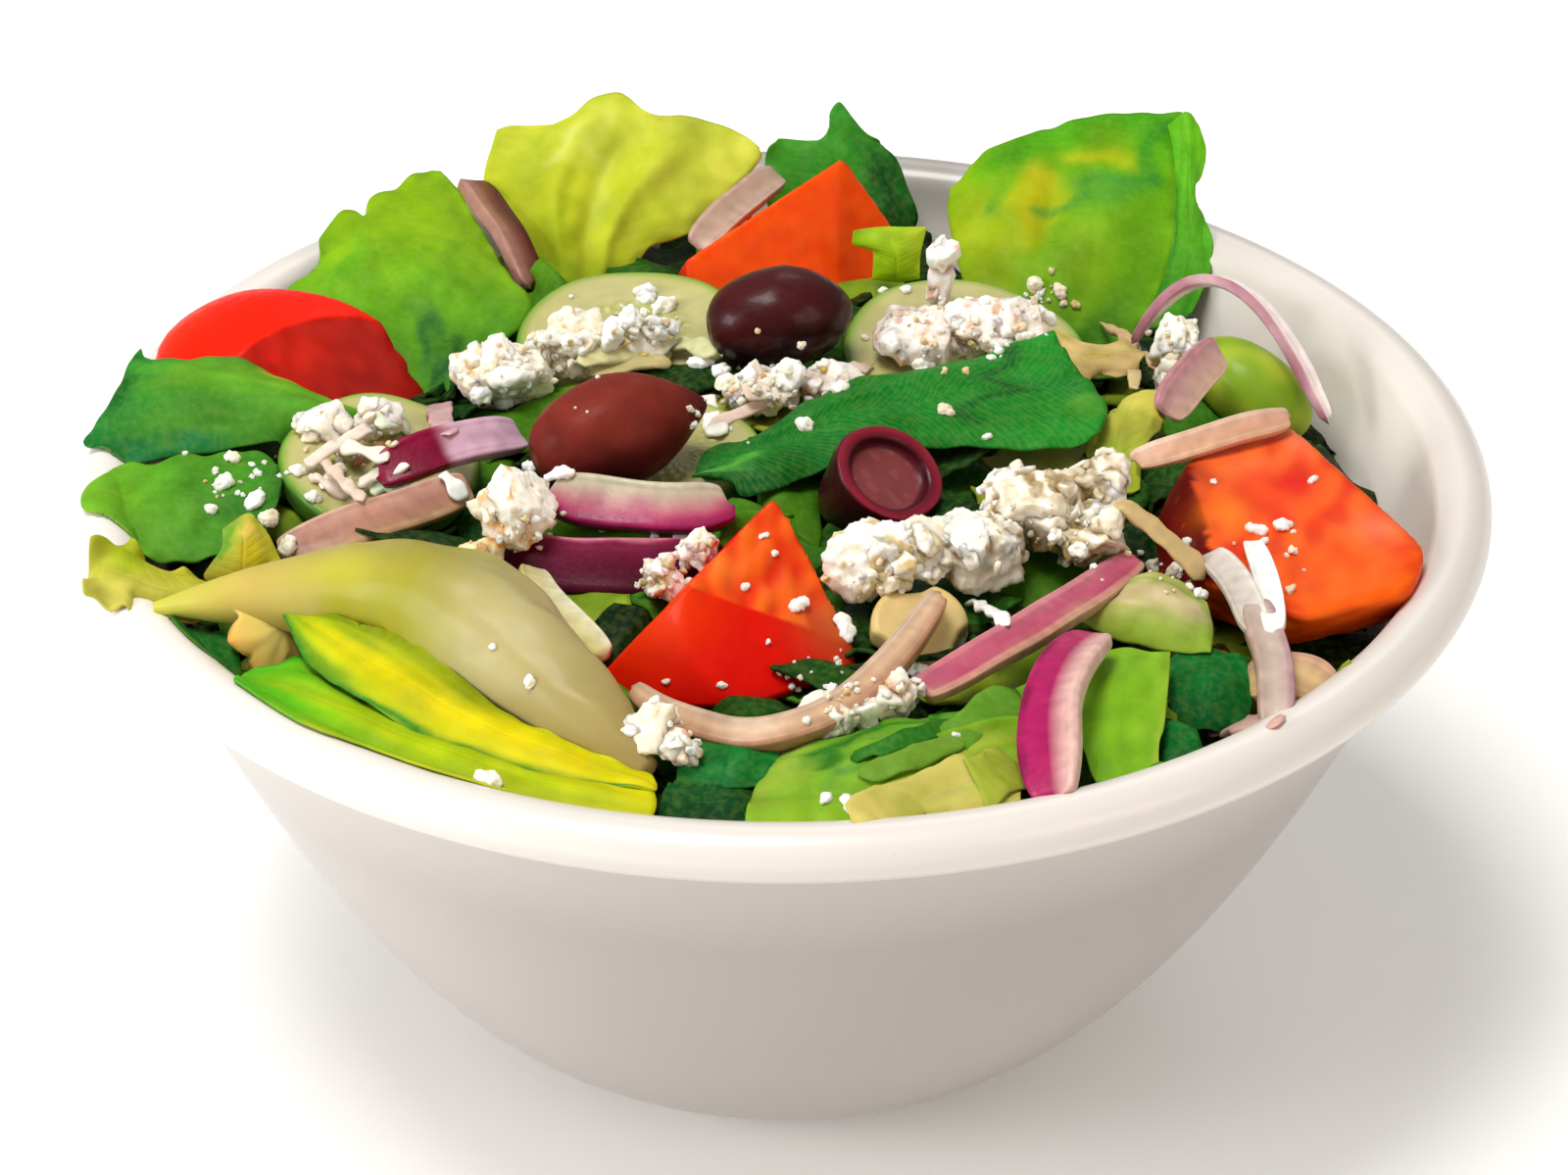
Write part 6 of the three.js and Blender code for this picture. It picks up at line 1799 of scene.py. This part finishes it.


# %% larger crumbs, one by one: x, y, length, width, heading, tint share
CRUMBS = [
    (-81, -7.5, 2.6, 2.4, 0, 0.3), (-81.5, -15, 4.2, 3, 60, 0), (-76.5, -20, 4.4, 2.6, 60, 0),
    (-82.5, -22.5, 2.2, 2, 0, 0.2), (-88, -6, 1, 0.8, 0, 0.1), (-74, -25, 3.6, 3, 20, 0.5),
    (-70.5, -33, 3.6, 3, 70, 0.3), (-71, -11.5, 2.8, 2.6, 0, 0), (-68, -19, 3, 2.4, 20, 0.1),
    (-37, -9.5, 3.2, 2.2, -20, 0), (-32.5, -12.5, 5, 2.6, 0, 0), (-26, -28.5, 1, 1, 0, 0),
    (-18.5, -30, 1.4, 2, 0, 0), (-14.5, -30, 3.2, 1.8, 20, 0), (-21, 42.5, 3.2, 3, 0, 0.1),
    (-18, 33, 4.4, 3.6, -20, 0), (-23, 32, 1.8, 1.8, 0, 0.2), (-27, 30.5, 5, 5, 30, 0),
    (-36, 29.5, 7, 3, 10, 0), (-32.5, 28, 4, 3, 0, 0), (-41, 18.5, 7, 5, 30, 0),
    (-44.5, 21.5, 4, 3, 50, 0.2), (-45.5, 12, 4, 3.4, 60, 0), (-42, 9.5, 3.4, 2.6, 0, 0),
    (15.5, 45.5, 1.8, 1.4, 0, 0.3), (19, 45.5, 2.2, 1.8, 0, 0), (39, 47.5, 3.4, 3, 0, 0.4),
    (40, 37, 6, 2.8, -10, 0), (43, 45.5, 2.4, 3, 0, 0.5), (36, 33, 3, 2.4, 0, 0.7),
    (2.5, 28, 1.8, 1.4, 40, 0.4), (-4, 32.5, 1, 1, 0, 0.8), (8.5, 13.5, 3, 2.6, 30, 0),
    (6, 21.5, 2, 1.8, 0, 0), (3, 2.5, 2.8, 2.2, -30, 0.1), (24, 7, 2.8, 2, -30, 0.5),
    (30, -1, 1.6, 1.2, 0, 0.1), (67.5, -28.5, 4.6, 2.4, -30, 0), (71.5, -27.5, 3, 2.6, 0, 0),
    (77, -14, 2.2, 1.2, 40, 0), (72.5, -34.5, 1.3, 1.2, 0, 0), (71, -45, 2, 1.4, 50, 0.6),
    (57.5, -32, 1.9, 1.8, 0, 0.2), (58, -46.5, 2.4, 2.4, 0, 0), (52.5, -38.5, 2.8, 2.6, 0, 0.3),
    (55.5, -40, 4, 3, -30, 0.4), (18, -65.5, 5.2, 2.4, 0, 0.1), (24.5, -59, 3.6, 2, 30, 0.1),
    (23, -82.5, 1.4, 1, 0, 0.1), (-40, -60, 1.1, 1, 0, 0), (-34.5, -69, 2, 1.8, 60, 0),
    (-5.5, -44, 1.6, 1.4, 30, 0), (2, -49, 4, 2.8, 40, 0), (8, -55, 3.4, 5, 20, 0),
    (-1.5, -35, 1.6, 1.2, 60, 0), (-3, -30, 2.4, 0.9, 60, 0), (-8.5, -70, 1.8, 0.9, 10, 0.1),
    (-16, -69, 1.6, 0.8, 10, 0.1), (-0.5, -87, 2.6, 2.2, 0, 0), (8.5, -99.5, 2.4, 4, 20, 0),
    (5.5, -98, 1.6, 2.2, 0, 0), (-39, -94, 5.5, 4, 0, 0.1), (-8.5, 15, 4, 3, 0, 0.3),
    (-5, 17, 4.4, 3.4, 20, 0), (0, 19, 4, 3, 0, 0.1), (-11, 10, 3, 2.4, 0, 0.5), (16.5, 28, 3, 3, 0, 0),
    (21, 21.5, 4, 3, 0, 0.1), (37, 30, 3.5, 3, 0, 0.2), (42, -33.5, 3, 2.6, 0, 0.1),
    (-21.5, 44.5, 3.6, 3, 0, 0), (-18.5, 39.5, 5, 4, 40, 0), (-20, 33, 5.4, 4, 10, 0),
    (-24, 36, 4.6, 4, 70, 0), (-12.5, 21.5, 4.6, 3.4, 20, 0), (-9.5, 19, 3.6, 3, 60, 0),
    (0.5, 18, 5, 5, 30, 0), (-4.5, 13, 3, 2.4, 0, 0.5), (-26.5, 31, 5.4, 5, 30, 0),
    (-21.5, 43.5, 3.4, 3, 0, 0), (-19, 32.5, 4.6, 3.6, -10, 0), (29, -53, 3, 1.6, -50, 0),
    (-14, -37.5, 2.4, 2, 40, 0.1), (62.5, -14.5, 1.2, 1, 0, 0.1),
]
CRUMB_TONES = [(0, 253, 250, 242), (0.3, 244, 236, 214), (0.6, 230, 206, 180), (1, 206, 176, 96)]
rng = np.random.default_rng(407)
larger = []
for x, y, length, width, heading, brine in CRUMBS:
    met = landing(x, y)
    if met:
        size = 0.9 * np.array((length, width, 0.62 * min(length, width) + 0.3))
        larger.append((met[0], met[1], size, heading + rng.normal(0, 8), brine))
lumps("feta_crumbs_large", larger, detail=4, seed=3, roughness=0.75)

# %% fine crumbs round the clusters: x, y, spread, how many
STREWN = [
    (-34, 24, 12, 70), (-20, 34, 7, 24), (-2, 15, 8, 44), (27, 32, 12, 60), (40, 42, 6, 20), (37, -28, 10, 34),
    (12, -42, 7, 20), (-66, -8, 8, 34), (-38, -28, 6, 22), (8, -73, 8, 26), (-17, -42, 6, 14),
    (60, 30, 6, 18), (68, -32, 7, 6), (-80, -16, 5, 12), (54, -40, 5, 16), (-8, 4, 9, 16), (4, -66, 8, 10),
]
CRUMB_REACH, CRUMB_FLOOR = 92, 80
finer = []
for x, y, spread, count in STREWN:
    for _ in range(count):
        off = rng.normal(0, spread / 2, 2)
        met = landing(x + off[0], y + off[1])
        if met and np.hypot(*met[0][:2]) < CRUMB_REACH and met[0][2] > CRUMB_FLOOR:
            bulk = 0.45 + 0.9 * rng.random() ** 2
            size = bulk * rng.uniform(0.7, 1.25, 3)
            finer.append((met[0], met[1], size, rng.uniform(0, 360), min(1, rng.random() ** 2)))
lumps("feta_crumbs_fine", finer, detail=3, seed=5, roughness=0.9, smooth=False)
print("crumbs:", len(larger), "larger and", len(finer), "fine")

# %% [markdown]
# ## Slivers and ribbons
# Thin shreds of onion and torn strips of lettuce lie over everything. Each is a short flat loft
# between two landing places, a third of a millimetre to one millimetre thick; a row of numbers
# says where it starts and ends, so one function makes them all. The ribbons also bend through
# the landing place half way, because they follow the leaf under them.

# %% slivers: two ends, width, tone
SLIVERS = [
    (-68.5, -8.5, -61, -20.5, 2.0, (216, 190, 172)), (-70.5, -10.5, -61, 2, 2.0, (230, 212, 196)),
    (-63, -10.5, -58.5, -3.5, 1.0, (168, 116, 84)), (-50, -12.5, -46.5, -20.5, 2.6, (226, 230, 222)),
    (-60, -17, -55, -15, 2.8, (212, 224, 200)), (-60.5, 4, -55.5, 1, 3.4, (216, 222, 194)),
    (-52, 7.5, -50, -1, 4.0, (198, 156, 160)), (48, -21, 60, -41.5, 2.4, (186, 160, 110)),
    (-11.5, 0.5, 13.5, 20.5, 2.4, (228, 200, 184)), (52, 31.5, 53, 12.5, 2.0, (202, 180, 126)),
    (48.5, 35, 56.5, 21.5, 1.6, (204, 170, 130)), (-67, -16.5, -64, -10.5, 1.6, (238, 230, 214)),
    (31, -55, 26, -49, 2.0, (240, 240, 232)), (-66, -4, -58, -8, 2.4, (232, 222, 204)),
    (-62, -16, -55, -10.5, 1.8, (236, 226, 210)), (-57.5, -4, -60, -11, 1.6, (222, 196, 184)),
    (-69, -14, -63, -19.5, 1.8, (222, 200, 186)), (-32, 23, -17, 24.5, 3.4, (206, 198, 146)),
    (-29.5, 20, -17, 21, 3.0, (190, 176, 122)), (-13, 12.5, -10, -2, 3.4, (240, 236, 222)),
    (-6, 13, 3, 10.5, 3.0, (220, 200, 178)), (-17, 27, -10, 26, 3.0, (200, 200, 150)),
    (41.5, -62.5, 47, -59.5, 3.0, (206, 166, 180)), (57, -82, 66, -81, 4.6, (204, 162, 150)),
]


STEEPEST = 16  # a sliver whose ends differ more in height would hang in the air


def sliver(start, end, width, tone, seed, steps=18, sides=12, bow=(0, 0, 0.6), thick=0.45):
    share, p, _, n, s = spine(start, end, bow, (0, -0.45, 0.9), steps)
    flat, high = rounded_square(sides, 0.5, 0.5)
    narrow = np.sqrt(np.clip(1 - np.abs(2 * share - 1) ** 12, 0.02, 1)) * (1 + 0.12 * np.sin(share * 8 + seed))
    rings = p[:, None] + s[:, None] * (width / 2 * narrow)[:, None, None] * flat[None, :, None]
    rings = rings + n[:, None] * (thick * narrow)[:, None, None] * high[None, :, None]
    points, faces = loft(rings + 0.15 * waves(rings, 4, seed)[..., None])
    return points, faces, paint(*tone) * (1 + 0.06 * waves(points, 1.6, seed))[:, None]


parts = []
for number, (x0, y0, x1, y1, width, tone) in enumerate(SLIVERS):
    ends = [landing(x0, y0), landing(x1, y1)]
    if all(ends):
        start, end = (met[0] + 0.7 * np.array(met[1]) for met in ends)
        if abs(start[2] - end[2]) < STEEPEST:
            parts.append(sliver(start, end, width, tone, number))
points, faces, tint = heap_of(parts)
tint[:, 3] = 1
build("pale_slivers", points, faces, ONION, "onion_pale", [HEAP], tint)
print("slivers:", len(parts))

# %% torn ribbons on the front leaf: two ends, width, tone
RIBBONS = [
    (9, -103.5, 26, -91, 6.6, (206, 194, 140)), (25, -94.5, 31, -90, 8.0, (166, 178, 86)),
    (22, -84.5, 31.5, -72.5, 6.0, (96, 152, 60)), (9, -88, 23, -79.5, 2.4, (40, 116, 44)),
    (10, -92.5, 24, -84, 3.6, (112, 156, 70)), (27, -73, 20, -79, 2.4, (60, 130, 50)),
]
parts = []
for number, (x0, y0, x1, y1, width, tone) in enumerate(RIBBONS):
    met = [landing(x, y) for x, y in ((x0, y0), ((x0 + x1) / 2, (y0 + y1) / 2), (x1, y1))]
    if all(met):
        a, middle, b = (place + 0.3 * np.array(normal) for place, normal, _ in met)
        parts.append(sliver(a, b, width, tone, number, bow=middle - (a + b) / 2, thick=0.3))
points, faces, tint = heap_of(parts)
tint[:, 3] = 1
lettuce("leaf_ribbons", points, faces, tint)
print("ribbons:", len(parts))
